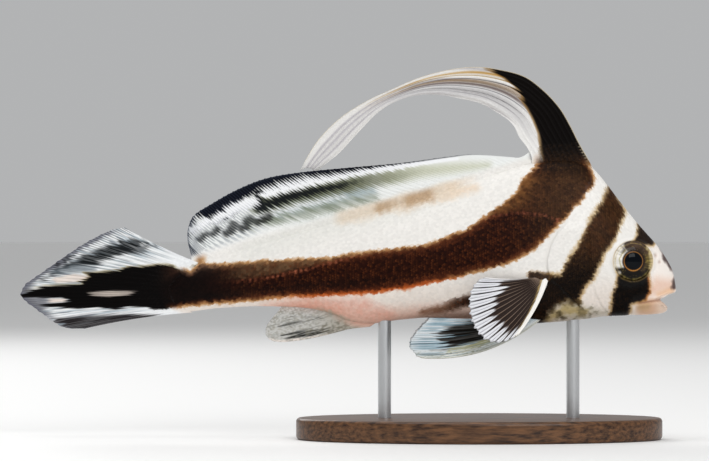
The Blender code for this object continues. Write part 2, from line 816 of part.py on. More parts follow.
def keep_lowest(thing):
    """Drops what a cut leaves above the lowest piece."""
    form = bmesh.new()
    form.from_mesh(thing.data)
    lowest = sorted(islands(form), key=lambda island: min(v.co.z for f in island for v in f.verts))
    for island in lowest[1:]:
        bmesh.ops.delete(form, geom=island, context="FACES")
    form.to_mesh(thing.data)
    form.free()


def main():
    for thing in list(bpy.data.objects):
        bpy.data.objects.remove(thing)
    make_head()
    make_gill_covers()
    make_jaw()
    make_eyes()
    make_trunk()
    make_stalk()
    clearance = make_clearance()
    make_first_dorsal(clearance)
    make_second_dorsal(clearance)
    make_anal(clearance)
    make_caudal()
    make_paired_fins(clearance)
    make_stand(clearance)
    bpy.data.objects.remove(clearance)


main()
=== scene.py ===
import math

import bmesh
import bpy
import numpy as np
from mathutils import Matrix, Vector


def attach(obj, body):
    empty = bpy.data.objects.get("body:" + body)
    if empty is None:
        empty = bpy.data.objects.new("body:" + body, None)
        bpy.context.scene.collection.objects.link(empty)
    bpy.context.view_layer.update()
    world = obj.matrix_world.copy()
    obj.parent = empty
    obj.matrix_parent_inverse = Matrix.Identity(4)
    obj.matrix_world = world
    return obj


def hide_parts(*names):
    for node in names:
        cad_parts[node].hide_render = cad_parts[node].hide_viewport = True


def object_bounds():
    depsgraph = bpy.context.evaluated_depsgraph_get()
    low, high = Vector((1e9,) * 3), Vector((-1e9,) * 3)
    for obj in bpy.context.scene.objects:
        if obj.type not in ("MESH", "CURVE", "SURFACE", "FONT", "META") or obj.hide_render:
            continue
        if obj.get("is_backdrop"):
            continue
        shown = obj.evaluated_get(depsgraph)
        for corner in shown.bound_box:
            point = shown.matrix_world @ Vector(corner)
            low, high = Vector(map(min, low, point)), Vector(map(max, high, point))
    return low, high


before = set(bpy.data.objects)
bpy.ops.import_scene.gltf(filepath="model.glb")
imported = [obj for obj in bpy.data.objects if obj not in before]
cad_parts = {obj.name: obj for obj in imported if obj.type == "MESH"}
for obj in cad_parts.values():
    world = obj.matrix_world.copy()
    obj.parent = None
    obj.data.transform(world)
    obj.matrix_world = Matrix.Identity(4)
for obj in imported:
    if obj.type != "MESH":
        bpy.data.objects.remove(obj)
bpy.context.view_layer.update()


# Studio
# A pale painted floor under even grey air, lit by three large soft boxes: in front, above and behind.
# The camera looks level at the fish's right side, as the photograph does.


def light_panel(name, place, aim, size, power):
    """A soft box at a place in metres, turned to face the aim."""
    lamp = bpy.data.lights.new(name, "AREA")
    lamp.shape = "RECTANGLE"
    lamp.size, lamp.size_y = size
    lamp.energy = power
    holder = bpy.data.objects.new(name, lamp)
    bpy.context.scene.collection.objects.link(holder)
    holder.location = place
    holder.rotation_euler = (Vector(aim) - Vector(place)).to_track_quat("-Z", "Y").to_euler()


bpy.ops.object.select_all(action="DESELECT")
bpy.ops.mesh.primitive_plane_add(size=30, location=(0, 0, 0))
floor = bpy.context.active_object
floor.name = "studio_floor"
floor_paint = bpy.data.materials.new("floor_paint")
floor_paint.use_nodes = True
floor_shader = floor_paint.node_tree.nodes["Principled BSDF"]
floor_shader.inputs["Base Color"].default_value = (0.92, 0.915, 0.905, 1)
floor_shader.inputs["Roughness"].default_value = 0.6
floor.data.materials.append(floor_paint)
floor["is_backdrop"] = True

light_panel("softbox_front", (0.30, -0.70, 0.50), (0.01, 0, 0.045), (0.45, 0.4), 2.7)
light_panel("softbox_top", (-0.1, -0.1, 0.8), (0, 0, 0.04), (0.7, 0.5), 2.5)
light_panel("softbox_rear", (-0.35, 0.6, 0.5), (0, 0, 0.05), (0.5, 0.5), 2.2)
air = bpy.data.worlds.new("studio_air")
air.use_nodes = True
air.node_tree.nodes["Background"].inputs["Color"].default_value = (0.86, 0.87, 0.88, 1)
air.node_tree.nodes["Background"].inputs["Strength"].default_value = 0.52
bpy.context.scene.world = air

lens = bpy.data.cameras.new("camera")
lens.lens = 200
lens.sensor_width = 36
lens.clip_start = 0.01
camera = bpy.data.objects.new("camera", lens)
bpy.context.scene.collection.objects.link(camera)
camera.location = (0.0015, -0.9035, 0.0479)
camera.rotation_euler = (math.pi / 2, 0, 0)
bpy.context.scene.camera = camera
bpy.context.scene.view_settings.view_transform = "Standard"


# Skin
# One moist skin from the lips to the root of the tail fin, over head, gill covers, jaw, trunk and tail stalk.
# It is drawn over sections of the body, then raised and sunk for gill covers, lips, nostrils and eye rims.
# Its markings are strokes and outlined fields of pigment, which the scales carry on.
# The nostril pits and the mouth's groove also get painted shade.

# Sizes are in millimetres: s behind the snout, h above the axis and y out from the middle.
# COAT is how far the skin lies under the scales.
LENGTH, AXIS, COAT = 150.2, 34.3, 0.14
BACK = [
    (0, 2.2), (0.4, 3.8), (1.3, 5.9), (3.8, 9.8), (8.3, 14.9), (12.9, 20.6), (17.5, 26.5), (19.3, 28.3),
    (22.1, 29.5), (25.5, 29.9), (31.9, 29.3), (40.4, 27.0), (51.8, 23.3), (74.6, 16.8), (97.5, 10.1),
    (108.9, 6.4), (113.5, 5.4), (124, 4.6),
]
BELLY = [
    (0, 0.2), (0.3, -1.0), (0.9, -2.8), (1.5, -4.3), (3.1, -5.5), (6.1, -5.8), (15.2, -6.1),
    (22.1, -7.0), (31.2, -7.7), (35.8, -7.8), (47.2, -6.8), (56.4, -6.5), (63.2, -7.0), (70.5, -7.9),
    (74.6, -7.3), (79.8, -5.3), (86.1, -4.2), (95.2, -3.9), (104.4, -4.3), (113.5, -5.3), (124, -5.5),
]
HALF_WIDTH = [
    (0, 1.2), (0.4, 2.0), (1.3, 2.9), (3.8, 4.2), (8, 5.5), (12, 6.3), (18, 7.0), (25, 7.3), (32, 7.1),
    (42, 6.5), (54, 5.7), (66, 4.8), (78, 3.8), (88, 3.0), (98, 2.4), (109, 1.7), (116, 1.25),
    (124, 0.7),
]
WIDEST = [(0, 1.0), (4, 2.4), (10, 5.3), (20, 5.2), (32, 5.0), (60, 5.5), (86, 4.2), (109, 0.9), (124, -0.4)]
GILL_OPENING = [
    (-9, 14.5), (-6.3, 16.6), (-5.3, 19.3), (-3.4, 22.3), (-1.4, 24.3), (0.9, 26.6), (3.0, 28.9),
    (5.7, 29.7), (9.1, 29.1), (12.6, 27.5), (15.1, 25.3), (21.5, 21.2), (28, 18.1), (33, 17.4),
]
CHEEK_EDGE = [
    (-6, 15.0), (-3.6, 17.3), (-1.2, 18.6), (2.3, 19.7), (6.0, 20.2), (9.6, 20.2), (12.6, 20.3),
    (16, 21.2),
]
FLESH_END = [
    (-6.4, 111.9), (-4.6, 113.7), (-2.4, 115.9), (0.2, 116.6), (2.6, 115.2), (4.9, 112.2), (7.2, 109.9),
]
MOUTH_FRONT = [
    (-5.6, 3.1), (-5.2, 2.45), (-4.8, 2.05), (-4.4, 1.85), (-4.0, 1.85), (-3.6, 2.1), (-3.0, 2.7),
    (-2.5, 3.35), (-2.2, 3.5), (-1.7, 2.6), (-1.1, 1.5), (-0.7, 0.45), (-0.3, 0),
]
EYE_BEHIND, EYE_ABOVE, EYE_SOCKET = 10.1, 6.6, 4.05
NOSTRILS = ((4.75, 7.9, 0.42), (3.85, 6.4, 0.34))
END = 119.0


def smooth_line(points):
    """A curve through points in rising order, which never swings past them."""
    xs, ys = np.array(points, float).T
    steps = np.diff(ys) / np.diff(xs)
    slopes = np.zeros_like(ys)
    bends = steps[:-1] * steps[1:] > 0
    slopes[1:-1][bends] = (2 * steps[:-1] * steps[1:])[bends] / (steps[:-1] + steps[1:])[bends]
    slopes[0], slopes[-1] = steps[0], steps[-1]

    def at(x):
        x = np.clip(x, xs[0], xs[-1])
        i = np.clip(np.searchsorted(xs, x, side="right") - 1, 0, len(xs) - 2)
        wide = xs[i + 1] - xs[i]
        t = (x - xs[i]) / wide
        return (
            ys[i] * (1 + 2 * t) * (1 - t) ** 2
            + slopes[i] * wide * t * (1 - t) ** 2
            + ys[i + 1] * t * t * (3 - 2 * t)
            + slopes[i + 1] * wide * t * t * (t - 1)
        )

    return at


def fade(none, full, x):
    """A smooth change from 0 where x is none to 1 where it is full, which may be the lower of the two."""
    t = np.clip((np.asarray(x, float) - none) / (full - none), 0, 1)
    return t * t * (3 - 2 * t)


def bump(distance, width):
    """1 on a line, dying away over a width on both sides of it."""
    return np.exp(-((distance / width) ** 2))


back, belly, half_width, widest = (smooth_line(p) for p in (BACK, BELLY, HALF_WIDTH, WIDEST))
gill_opening, cheek_edge, flesh_end = (smooth_line(p) for p in (GILL_OPENING, CHEEK_EDGE, FLESH_END))
mouth_front = smooth_line(MOUTH_FRONT)


def over_mouth(s, h, height=-2.2):
    """How far places lie above the mouth's line, which slopes down to its corner."""
    return h - height + 0.155 * (s - 3.5)


def upper_lip(s):
    """The height of the upper lip's fullest line."""
    return np.where(s < 3.5, 0.1 - 0.5 * s, -1.65 - 0.155 * (s - 3.5))


def lower_lip(s):
    """The height of the lower lip's fullest line."""
    return np.where(s < 3.5, s - 6.25, -2.75 - 0.155 * (s - 3.5))


def relief(s, h):
    """How far the skin stands out from the plain section: covers, folds, rims, lips and pits."""
    ahead = gill_opening(h) - s
    on_cover = fade(-6.2, -4.6, h) * fade(16, 13.5, h)
    plate = 0.5 * np.clip(1 - ahead / 9, 0, 1) ** 2 * (ahead > 0)
    out = on_cover * (plate - 0.2 * bump(ahead + 0.2, 0.26) * (ahead < 0.2))
    past = s - cheek_edge(h)
    on_cheek = fade(-5.6, -3.5, h) * fade(15.5, 12, h)
    out += on_cheek * (-0.22 * bump(past, 0.28) + 0.1 * np.exp(-np.clip(-past, 0, 9) / 1.5) * (past < 0))
    ring = np.hypot(s - EYE_BEHIND, h - EYE_ABOVE)
    out += 0.3 * bump(ring - 4.7, 0.34) - 0.07 * bump(ring - 5.6, 0.25)
    out -= 3.2 * fade(EYE_SOCKET + 0.4, EYE_SOCKET, ring)
    for behind, above, wide in NOSTRILS:
        pit = np.hypot(s - behind, (h - above) * 0.8)
        out += -0.4 * bump(pit, wide) + 0.05 * bump(pit - wide * 1.8, 0.18)
    lips = fade(9.6, 7.0, s)
    out += lips * (0.4 * bump(h - upper_lip(s), 0.62) + 0.42 * bump(h - lower_lip(s), 0.7))
    out -= 0.34 * bump(over_mouth(s, h), 0.2) * fade(3.0, 3.6, s) * fade(9.8, 8.8, s)
    out -= 0.12 * bump(s - 10.6 - (h + 4.4) * 0.15, 0.3) * (h < -3.2) * (s < 14)
    for fold in (0.9, 2.0, 3.1):
        out -= 0.07 * bump(ahead - fold, 0.22) * fade(-4.2, -5.2, h)
    return out


ROWS, COLUMNS, FINE = 600, 180, 240
table_q = np.linspace(0, 1, ROWS + 1)
table_s = END * table_q**2
closing = np.sqrt(1 - (1 - np.clip(table_s / 0.7, 0, 1)) ** 2)
half_turn = np.linspace(0, math.pi, FINE + 1)
up, side = np.cos(half_turn), np.sin(half_turn)
middle = widest(table_s)[:, None]
tall_top = ((back(table_s) - COAT)[:, None] - middle) * closing[:, None]
tall_low = (middle - (belly(table_s) + COAT)[:, None]) * closing[:, None]
section_h = middle + np.where(
    up >= 0, np.abs(up) ** (2 / 1.65) * tall_top, -np.abs(up) ** (2 / 2.4) * tall_low
)
section_y = np.where(up >= 0, side ** (2 / 1.8), side ** (2 / 2.2))
section_y = section_y * ((half_width(table_s) - COAT) * closing)[:, None]
thinning = np.clip((flesh_end(section_h) - table_s[:, None]) / 5, 0, 1)
section_y = np.maximum(section_y * np.sqrt(thinning * (2 - thinning)), 0.03 * (side > 0.001))
steps = np.hypot(np.diff(section_h), np.diff(section_y))
run = np.concatenate([np.zeros((ROWS + 1, 1)), np.cumsum(steps, axis=1)], axis=1)
girth = run[:, -1]
shares = np.linspace(0, 1, COLUMNS + 1)
table = np.empty((ROWS + 1, COLUMNS + 1, 3))
table[..., 0] = table_s[:, None]
for i in range(ROWS + 1):
    spread = run[i] / max(girth[i], 1e-9)
    table[i, :, 1] = np.interp(shares, spread, section_h[i])
    table[i, :, 2] = np.interp(shares, spread, section_y[i])
normals = np.cross(np.gradient(table, axis=0), np.gradient(table, axis=1))
normals[:, 0, 2] = normals[:, -1, 2] = 0
normals[0] = (-1, 0, 0)
normals /= np.linalg.norm(normals, axis=2)[..., None] + 1e-12
if normals[ROWS // 2, COLUMNS // 2, 2] < 0:
    normals = -normals
normals[0] = (-1, 0, 0)


def read_table(grid, s, g):
    """A value of the table at a place behind the snout and a share of the way from crest to belly."""
    i = np.clip(np.sqrt(np.clip(s, 0, END) / END) * ROWS, 0, ROWS - 1e-6)
    j = np.clip(g * COLUMNS, 0, COLUMNS - 1e-6)
    a, b = i.astype(int), j.astype(int)
    u, v = (i - a)[..., None], (j - b)[..., None]
    near = grid[a, b] * (1 - v) + grid[a, b + 1] * v
    far = grid[a + 1, b] * (1 - v) + grid[a + 1, b + 1] * v
    return near * (1 - u) + far * u


def on_skin(s, g, lift=0.0):
    """Points of the right side's skin, as (behind, above, out), raised by a lift."""
    base = read_table(table, s, g)
    out = read_table(normals, s, g)
    amount = relief(base[..., 0], base[..., 1]) * fade(0.0, 0.5, base[..., 2] + s * 0.05) + lift
    here = base + out * np.asarray(amount)[..., None]
    front = mouth_front(here[..., 1])
    here[..., 0] = np.maximum(here[..., 0], front + 0.1 * here[..., 2] ** 2 * (front > 0.3))
    here[..., 2] = np.maximum(here[..., 2], 0)
    return here


def to_model(points, mirror=False):
    """Model coordinates, in metres, of points (behind, above, out). The right side is at -Y."""
    placed = np.empty_like(points)
    placed[..., 0] = LENGTH / 2 - points[..., 0]
    placed[..., 1] = points[..., 2] if mirror else -points[..., 2]
    placed[..., 2] = AXIS + points[..., 1]
    return placed * 0.001


def new_piece(name, points, faces):
    """A mesh object from an array of points and a list of faces, with its faces turned out."""
    mesh = bpy.data.meshes.new(name)
    mesh.from_pydata(points.tolist(), [], faces)
    form = bmesh.new()
    form.from_mesh(mesh)
    bmesh.ops.recalc_face_normals(form, faces=form.faces)
    form.to_mesh(mesh)
    form.free()
    mesh.shade_smooth()
    piece = bpy.data.objects.new(name, mesh)
    bpy.context.scene.collection.objects.link(piece)
    return piece


def set_values(piece, name, values):
    """Stores a number or a colour at each point of the piece."""
    values = np.asarray(values, float)
    if values.ndim == 1:
        layer = piece.data.attributes.new(name, "FLOAT", "POINT")
        layer.data.foreach_set("value", values)
    else:
        layer = piece.data.attributes.new(name, "FLOAT_COLOR", "POINT")
        layer.data.foreach_set("color", np.column_stack([values, np.ones(len(values))]).ravel())


def tint(code):
    """A colour from its six-figure code, as the shaders want it."""
    parts = np.array([int(code[i : i + 2], 16) / 255 for i in (0, 2, 4)])
    return np.where(parts <= 0.04045, parts / 12.92, ((parts + 0.055) / 1.055) ** 2.4)


def edge_distance(outline, s, h):
    """How far points lie inside an outline. It is negative outside."""
    nearest = np.full(np.shape(s), 1e9)
    inside = np.zeros(np.shape(s), bool)
    for (s0, h0), (s1, h1) in zip(outline, outline[1:] + outline[:1]):
        ds, dh = s1 - s0, h1 - h0
        t = np.clip(((s - s0) * ds + (h - h0) * dh) / (ds * ds + dh * dh), 0, 1)
        nearest = np.minimum(nearest, np.hypot(s - s0 - t * ds, h - h0 - t * dh))
        if dh:
            inside ^= ((h0 > h) != (h1 > h)) & (s < s0 + (h - h0) / dh * ds)
    return np.where(inside, nearest, -nearest)


def stroke(line, s, h):
    """How far points lie inside a brush stroke through (behind, above, half width)."""
    deepest = np.full(np.shape(s), -1e9)
    for (s0, h0, r0), (s1, h1, r1) in zip(line, line[1:]):
        ds, dh = s1 - s0, h1 - h0
        t = np.clip(((s - s0) * ds + (h - h0) * dh) / (ds * ds + dh * dh + 1e-9), 0, 1)
        deepest = np.maximum(deepest, r0 + (r1 - r0) * t - np.hypot(s - s0 - t * ds, h - h0 - t * dh))
    return deepest


dice = np.random.default_rng(7)
lattice = dice.random((256, 256))


def grain(s, h, size, shift=0):
    """Smooth random values from 0 to 1, with patches of a size."""
    x, y = np.asarray(s) / size + 17.3 * shift + 400, np.asarray(h) / size + 9.1 * shift + 400
    a, b = np.floor(x).astype(int), np.floor(y).astype(int)
    u, v = x - a, y - b
    u, v = u * u * (3 - 2 * u), v * v * (3 - 2 * v)
    a, b = a % 255, b % 255
    near = lattice[a, b] * (1 - v) + lattice[a, b + 1] * v
    far = lattice[a + 1, b] * (1 - v) + lattice[a + 1, b + 1] * v
    return near * (1 - u) + far * u


BAND_UPPER = [
    (32.6, 38.9), (31.7, 35.9), (31.0, 32.7), (30.7, 30.4), (32.3, 27.9), (35.3, 24.7), (36.2, 22.9),
    (38.1, 20.8), (42.6, 17.6), (47.2, 14.4), (51.8, 12.3), (57.5, 10.5), (64.4, 9.4), (72.4, 8.7),
    (79.2, 7.3), (86.1, 7.1), (97.5, 6.4), (104.4, 5.9), (108.9, 6.2), (111.2, 4.1), (113.1, 5.0),
    (118.1, 5.8), (127.2, 5.5),
]
BAND_LOWER = [
    (21.4, 30.9), (20.2, 29.0), (18.9, 27.0), (18.6, 25.6), (19.3, 23.8), (22.5, 19.9), (25.5, 16.5),
    (28.5, 13.3), (31.2, 10.5), (33.5, 8.5), (39.2, 5.9), (46.1, 3.9), (52.9, 2.3), (59.8, 0.9),
    (66.6, -0.2), (74.6, -0.9), (86.1, -1.4), (97.5, -2.5), (108.9, -3.4), (114.7, -4.3), (120.4, -4.3),
]
LONG_BAND = BAND_UPPER + BAND_LOWER[::-1] + [(21.4, 40)]
CHEST_BAND = [
    (13.4, 21.3), (11.8, 19.0), (11.3, 17.6), (12.9, 14.6), (14.3, 11.2), (16.6, 8.5), (18.2, 4.6),
    (19.1, 2.7), (21.4, 0.0), (22.3, -3.0), (24.8, -2.3), (27.5, -2.8), (31.2, -2.6), (31.4, 2.4),
    (29.6, 3.7), (26.8, 3.6), (25.9, 5.4), (23.7, 8.8), (21.4, 12.8), (19.8, 16.2), (17.0, 19.9),
    (15.4, 23.5), (13, 25),
]
CHEST = [
    (33.5, -9), (34.5, -4.6), (31.8, -0.5), (28.5, 2.6), (22.3, -3.0), (24.8, -2.4), (27, -3),
    (29.6, -5.4), (31, -9),
]
EYE_BAND_HIGH = [
    (8.8, 14.6), (8.0, 17), (2.5, 11.5), (4.9, 10.7), (5.4, 10.0), (8.3, 10.4), (10.6, 10.7), (9.3, 12.3),
]
EYE_BAND_LOW = [
    (13.6, 4.6), (14.1, 1.5), (14.7, -0.5), (15.4, -5.9), (15.4, -8), (10.6, -8), (10.4, -3.4),
    (7.2, -2.3), (6.3, -0.5), (6.3, 4.4),
]
lateral_line = smooth_line([
    (26.2, 15.5), (31.2, 17.2), (36, 17.6), (40.4, 17.1), (51.8, 13.7), (63.2, 9.8), (74.6, 7.3),
    (86.1, 4.3), (97.5, 2.3), (108.9, 1.4), (116, 0.9),
])
anal_foot = smooth_line([
    (66, -8.9), (70, -8.6), (73.5, -7.5), (76.2, -6.4), (79.4, -4.9), (85, -4.3), (92, -4.2),
])


class Paint:
    """Colours at the points of a piece, laid one over another on a ground colour."""

    def __init__(self, code, places):
        self.colours = np.ones(np.shape(places) + (3,)) * tint(code)

    def lay(self, code, amount):
        """Lays a colour over the others, by an amount from 0 to 1, mixed as evenly as the eye sees it."""
        amount = np.clip(amount, 0, 1)[..., None]
        self.colours = (np.sqrt(self.colours) * (1 - amount) + np.sqrt(tint(code)) * amount) ** 2

    def lay_all(self, *coats):
        """Lays coats one after another, each a colour and its amount."""
        for code, amount in coats:
            self.lay(code, amount)

    def brush(self, code, strength, soft, line, s, h, rough=0):
        """Lays a brush stroke, whose edge fades in between two depths inside it, and may be roughened."""
        self.lay(code, strength * fade(*soft, stroke(line, s, h) + rough))

    def shade(self, amount):
        """Makes the colours darker or lighter."""
        self.colours = self.colours * amount[..., None]

    def run_in(self, foot, s, h):
        """Turns to the skin's own colours where the foot is 1."""
        foot = foot[..., None]
        self.colours = self.colours * (1 - foot) + flesh_colours(s, h) * foot


def flesh_colours(s, h):
    """The markings of the skin and its scales, with painted shade in the nostrils and the mouth's groove, at
    places of the side view.
    """
    fine, coarse = grain(s, h, 0.7), grain(s, h, 4.5, 1)
    # the pale ground, with a salmon belly, grey round the vent, tan washes on the back and a pink snout
    paint = Paint("ebe8e3", s)
    paint.lay("e7d9cd", fade(6, -2, h) * 0.6)
    paint.lay("deb09c", fade(5.0, 0.5, h - belly(s)) * fade(22, 40, s) * fade(100, 82, s) * 0.75)
    salmon = [(66, -5.8, 1.8), (72, -4.2, 2.8), (80, -3.6, 2.0), (94, -4.0, 1.0)]
    paint.brush("d98d76", 0.3 + 0.3 * fine, (-1.2, 2.0), salmon, s, h, coarse - 0.5)
    vent = fade(0.6, -0.5, h - anal_foot(s) + (fine - 0.5)) * fade(69, 75, s) * fade(92, 90, s)
    paint.lay("b3aa98", 0.85 * vent)
    paint.lay("8a7d66", 0.5 * vent * fade(0.5, 0.8, fine) * fade(84, 76, s))
    wash = [(46, 23.6, 0.2), (56, 21.4, 0.9), (66, 19.2, 1.1), (76, 16.4, 0.8)]
    paint.brush("d6a673", 0.36, (-2.0, 0.6), wash, s, h, (coarse - 0.5) * 1.5)
    hatch = (grain(s * 2.2, h * 0.5, 0.8, 6) - 0.5) * 1.1
    for spot in ([(64.6, 19.7, 0.5), (68, 18.5, 0.5)], [(56, 21.4, 0.5), (61.2, 20.2, 0.5)]):
        paint.brush("96602a", 0.6, (-1.5, 0.8), spot, s, h, hatch)
    paint.lay("c3c6bd", 0.25 * fade(-6, 0, h - back(s)) * fade(45, 60, s) * fade(104, 96, s))
    paint.lay("f3eae2", fade(8.5, 3.5, s) * 0.9)
    paint.brush("e0b096", 0.62, (-1.8, 1.6), [(1.0, 1.2, 1.0), (4.2, 0.8, 1.8), (7.4, -0.8, 1.0)], s, h)
    paint.lay("d3a684", fade(10.5, 7.5, s) * fade(-1.4, -2.6, h) * (0.45 + 0.4 * fade(3.0, 6.0, s)))
    paint.brush("e2b48c", 0.7, (-0.9, 0.5), [(1.2, -0.1, 0.6), (4.2, -1.0, 0.3)], s, h)
    paint.brush("bb9a6e", 0.6, (-1.0, 0.5), [(7, -3.7, 0.7), (8.4, -4.0, 0.5)], s, h)
    wobble = (fine - 0.5) * 0.6 + (coarse - 0.5) * 0.4

    # the long band, from the first dorsal fin to the tail, browner above the lateral line and its spots
    band = edge_distance(LONG_BAND, s, h) + wobble * (0.7 + 0.3 * fade(80, 60, s))
    front, rear = fade(42, 24, s), fade(96, 112, s)
    below = fade(0, 3, widest(s) - 1 - h)
    paint.lay("ad6a1e", fade(-0.42, 0.0, band) * 0.7)
    paint.lay("c4541c", fade(-0.6, 0.1, band) * below * fade(30, 45, s) * fade(96, 80, s) * 0.85)
    paint.lay_all(
        ("421b0b", fade(-0.15, 0.9, band) * 0.92),
        ("1f0803", fade(0.5, 2.4, band)),
        ("281910", fade(0.0, 2.2, band) * front * 0.85),
        ("7c6250", fade(0.0, 0.8, band) * fade(1.0, 4.0, h - back(s) + 5.5) * rear * 0.4),
        ("6f5a49", fade(-0.2, 0.8, band) * fade(-2.0, 0, h - back(s) + 1.6) * fade(72, 90, s) * 0.55),
    )
    above_line = fade(0.0, 1.2, h - lateral_line(s))
    hind = above_line * fade(60, 72, s) * fade(108, 98, s)
    paint.lay("69533a", 0.55 * fade(0.0, 0.6, band) * (0.5 + fine) * hind)
    waves = grain(s * 0.4 + h * 0.22, h * 1.6 - s * 0.87, 0.8, 21)
    shoulder = above_line * fade(-0.1, 0.6, band) * fade(62, 46, s) * fade(28, 24.5, h)
    paint.lay_all(
        ("5f3d20", 0.38 * shoulder),
        ("9a6a38", shoulder * (0.45 * fade(5.0, 0.6, band) * fade(24, 34, s))),
        ("24130a", shoulder * 0.5 * fade(0.6, 0.35, waves)),
        ("0c0504", fade(0.2, 1.6, band) * np.clip(rear + 0.5 * below * fade(40, 90, s), 0, 1)),
    )
    nape = fade(-4.5, 0.3, h - back(s)) * fade(35, 31, s)
    paint.lay("130c08", fade(0.2, 1.4, band) * nape * 0.6)
    beads = np.hypot(s - 1.3 * np.round(s / 1.3), (h - lateral_line(s)) * 0.9)
    strong = 0.15 + 0.35 * fade(50, 40, s) + 0.45 * fade(70, 78, s) * fade(104, 92, s)
    strong = strong * (0.6 + 0.8 * grain(s, 0, 1.3, 18))
    beads = fade(0.55, 0.15, beads) * strong * fade(108, 100, s)
    paint.lay("b5684a", beads * fade(0.0, 0.6, band))

    # the band from the nape to the chest, the freckled throat, the pectoral's root and a mark on the flank
    chest = edge_distance(CHEST_BAND, s, h) + wobble * 0.8
    paint.lay_all(
        ("a5741f", fade(-0.7, 0.1, chest) * 0.55),
        ("21150d", fade(-0.1, 0.8, chest)),
        ("4b2c17", 0.5 * fade(0.0, 0.8, chest) * fade(4, 12, h) * (0.4 + 1.2 * fine)),
        ("0c0705", fade(0.2, 1.4, chest) * fade(9, 0, h)),
    )
    throat = edge_distance(CHEST, s, h) + wobble
    dust = [(13.5, -5.6, 0.5), (18.5, -5.2, 1.2), (24.8, -4.9, 2.7), (29.6, -6.8, 1.4)]
    dust = stroke(dust, s, h) + wobble
    paint.lay("aaa48f", 0.5 * fade(-0.8, 1.2, dust))
    gold = [(21.0, -5.0, 0.8), (25.5, -4.4, 1.7), (29.2, -6.6, 0.8)]
    paint.brush("ab9048", 0.6, (-0.6, 1.2), gold, s, h, wobble * 1.4)
    paint.brush("2a2216", 0.7, (-0.5, 0.4), [(25.6, -7.4, 0.2), (26.8, -5.4, 0.5)], s, h, wobble)
    paint.lay_all(
        ("5d5540", 0.5 * fade(-0.6, 1.2, dust) * fade(0.62, 0.9, fine)),
        ("6b5526", 0.55 * fade(-1.5, 0.2, throat) * fade(-1.6, -2.6, h)),
        ("130c08", fade(-1.1, 0.9, throat)),
    )
    socket = stroke([(30.0, 2.9, 0.9), (31.6, 3.0, 0.9), (33.3, 3.5, 0.7)], s, h) + wobble * 0.6
    paint.lay("9a6a30", 0.5 * fade(-0.5, 0.0, socket))
    paint.lay("2c211b", fade(-0.2, 0.5, socket) * 0.95)
    flank = [(45.5, -2.0, 0.9), (50, -3.0, 0.85), (53, -4.2, 0.65), (58, -5.0, 0.3)]
    flank = stroke(flank, s, h) + wobble * 0.6
    paint.lay("6d432a", 0.75 * fade(-1.2, 0.5, flank))
    paint.lay("1d130d", fade(-0.9, 0.6, flank) * fade(55, 48, s) * 0.95)

    # the band through the eye, dark marks down the snout and the upper lip, and the rims of eye and mouth,
    # with painted shade in the nostril pits and the mouth's groove
    eye = np.maximum(edge_distance(EYE_BAND_HIGH, s, h), edge_distance(EYE_BAND_LOW, s, h)) + wobble * 0.7
    paint.lay_all(
        ("a5741f", fade(-0.6, 0.1, eye) * 0.55),
        ("a8622c", fade(-0.4, 0.3, eye) * fade(8.2, 6.6, s) * (h < 3)),
        ("211610", fade(-0.1, 0.6, eye)),
        ("080504", fade(0.1, 1.2, eye) * fade(7, 3, h)),
    )
    for line in (
        [(3.6, 9.4, 0.0), (2.6, 7.9, 0.55), (1.8, 6.5, 0.8), (1.0, 5.0, 0.6), (0.45, 3.9, 0.1)],
        [(0.25, 3.0, 0.05), (0.15, 2.2, 0.5), (0.3, 1.3, 0.75), (0.5, 0.5, 0.55), (0.6, 0.0, 0.1)],
    ):
        paint.brush("453331", 0.9, (-0.4, 0.45), line, s, h, (fine - 0.5) * 0.6)
    # painted shade: a brownish dot darkens each nostril pit
    for behind, above, wide in NOSTRILS:
        paint.lay("7c5a4c", 0.35 * bump(np.hypot(s - behind, (h - above) * 0.8), wide * 0.87))
    orbit = np.hypot(s - EYE_BEHIND, h - EYE_ABOVE) - 4.6
    paint.lay("a98a4c", 0.5 * bump(orbit, 0.16))
    # the mouth's line: the lips' pinkish brown, deepened with painted shade in the groove between the lips
    mouth = bump(over_mouth(s, h), 0.24) * fade(3.2, 3.8, s) * fade(9.6, 8.4, s)
    paint.lay("9c6a55", 0.5 * mouth)
    return paint.colours


class Wire:
    """A value on its way through a material's nodes, so that sums read as they are written."""

    def __init__(self, tree, socket):
        self.tree, self.socket = tree, socket

    def math(self, operation, first, second):
        node = self.tree.nodes.new("ShaderNodeMath")
        node.operation = operation
        for socket, value in zip(node.inputs, (first, second)):
            if isinstance(value, Wire):
                self.tree.links.new(value.socket, socket)
            else:
                socket.default_value = value
        return Wire(self.tree, node.outputs[0])

    def __add__(self, other):
        return self.math("ADD", self, other)

    def __radd__(self, other):
        return self.math("ADD", other, self)

    def __mul__(self, other):
        return self.math("MULTIPLY", self, other)

    def __rmul__(self, other):
        return self.math("MULTIPLY", other, self)


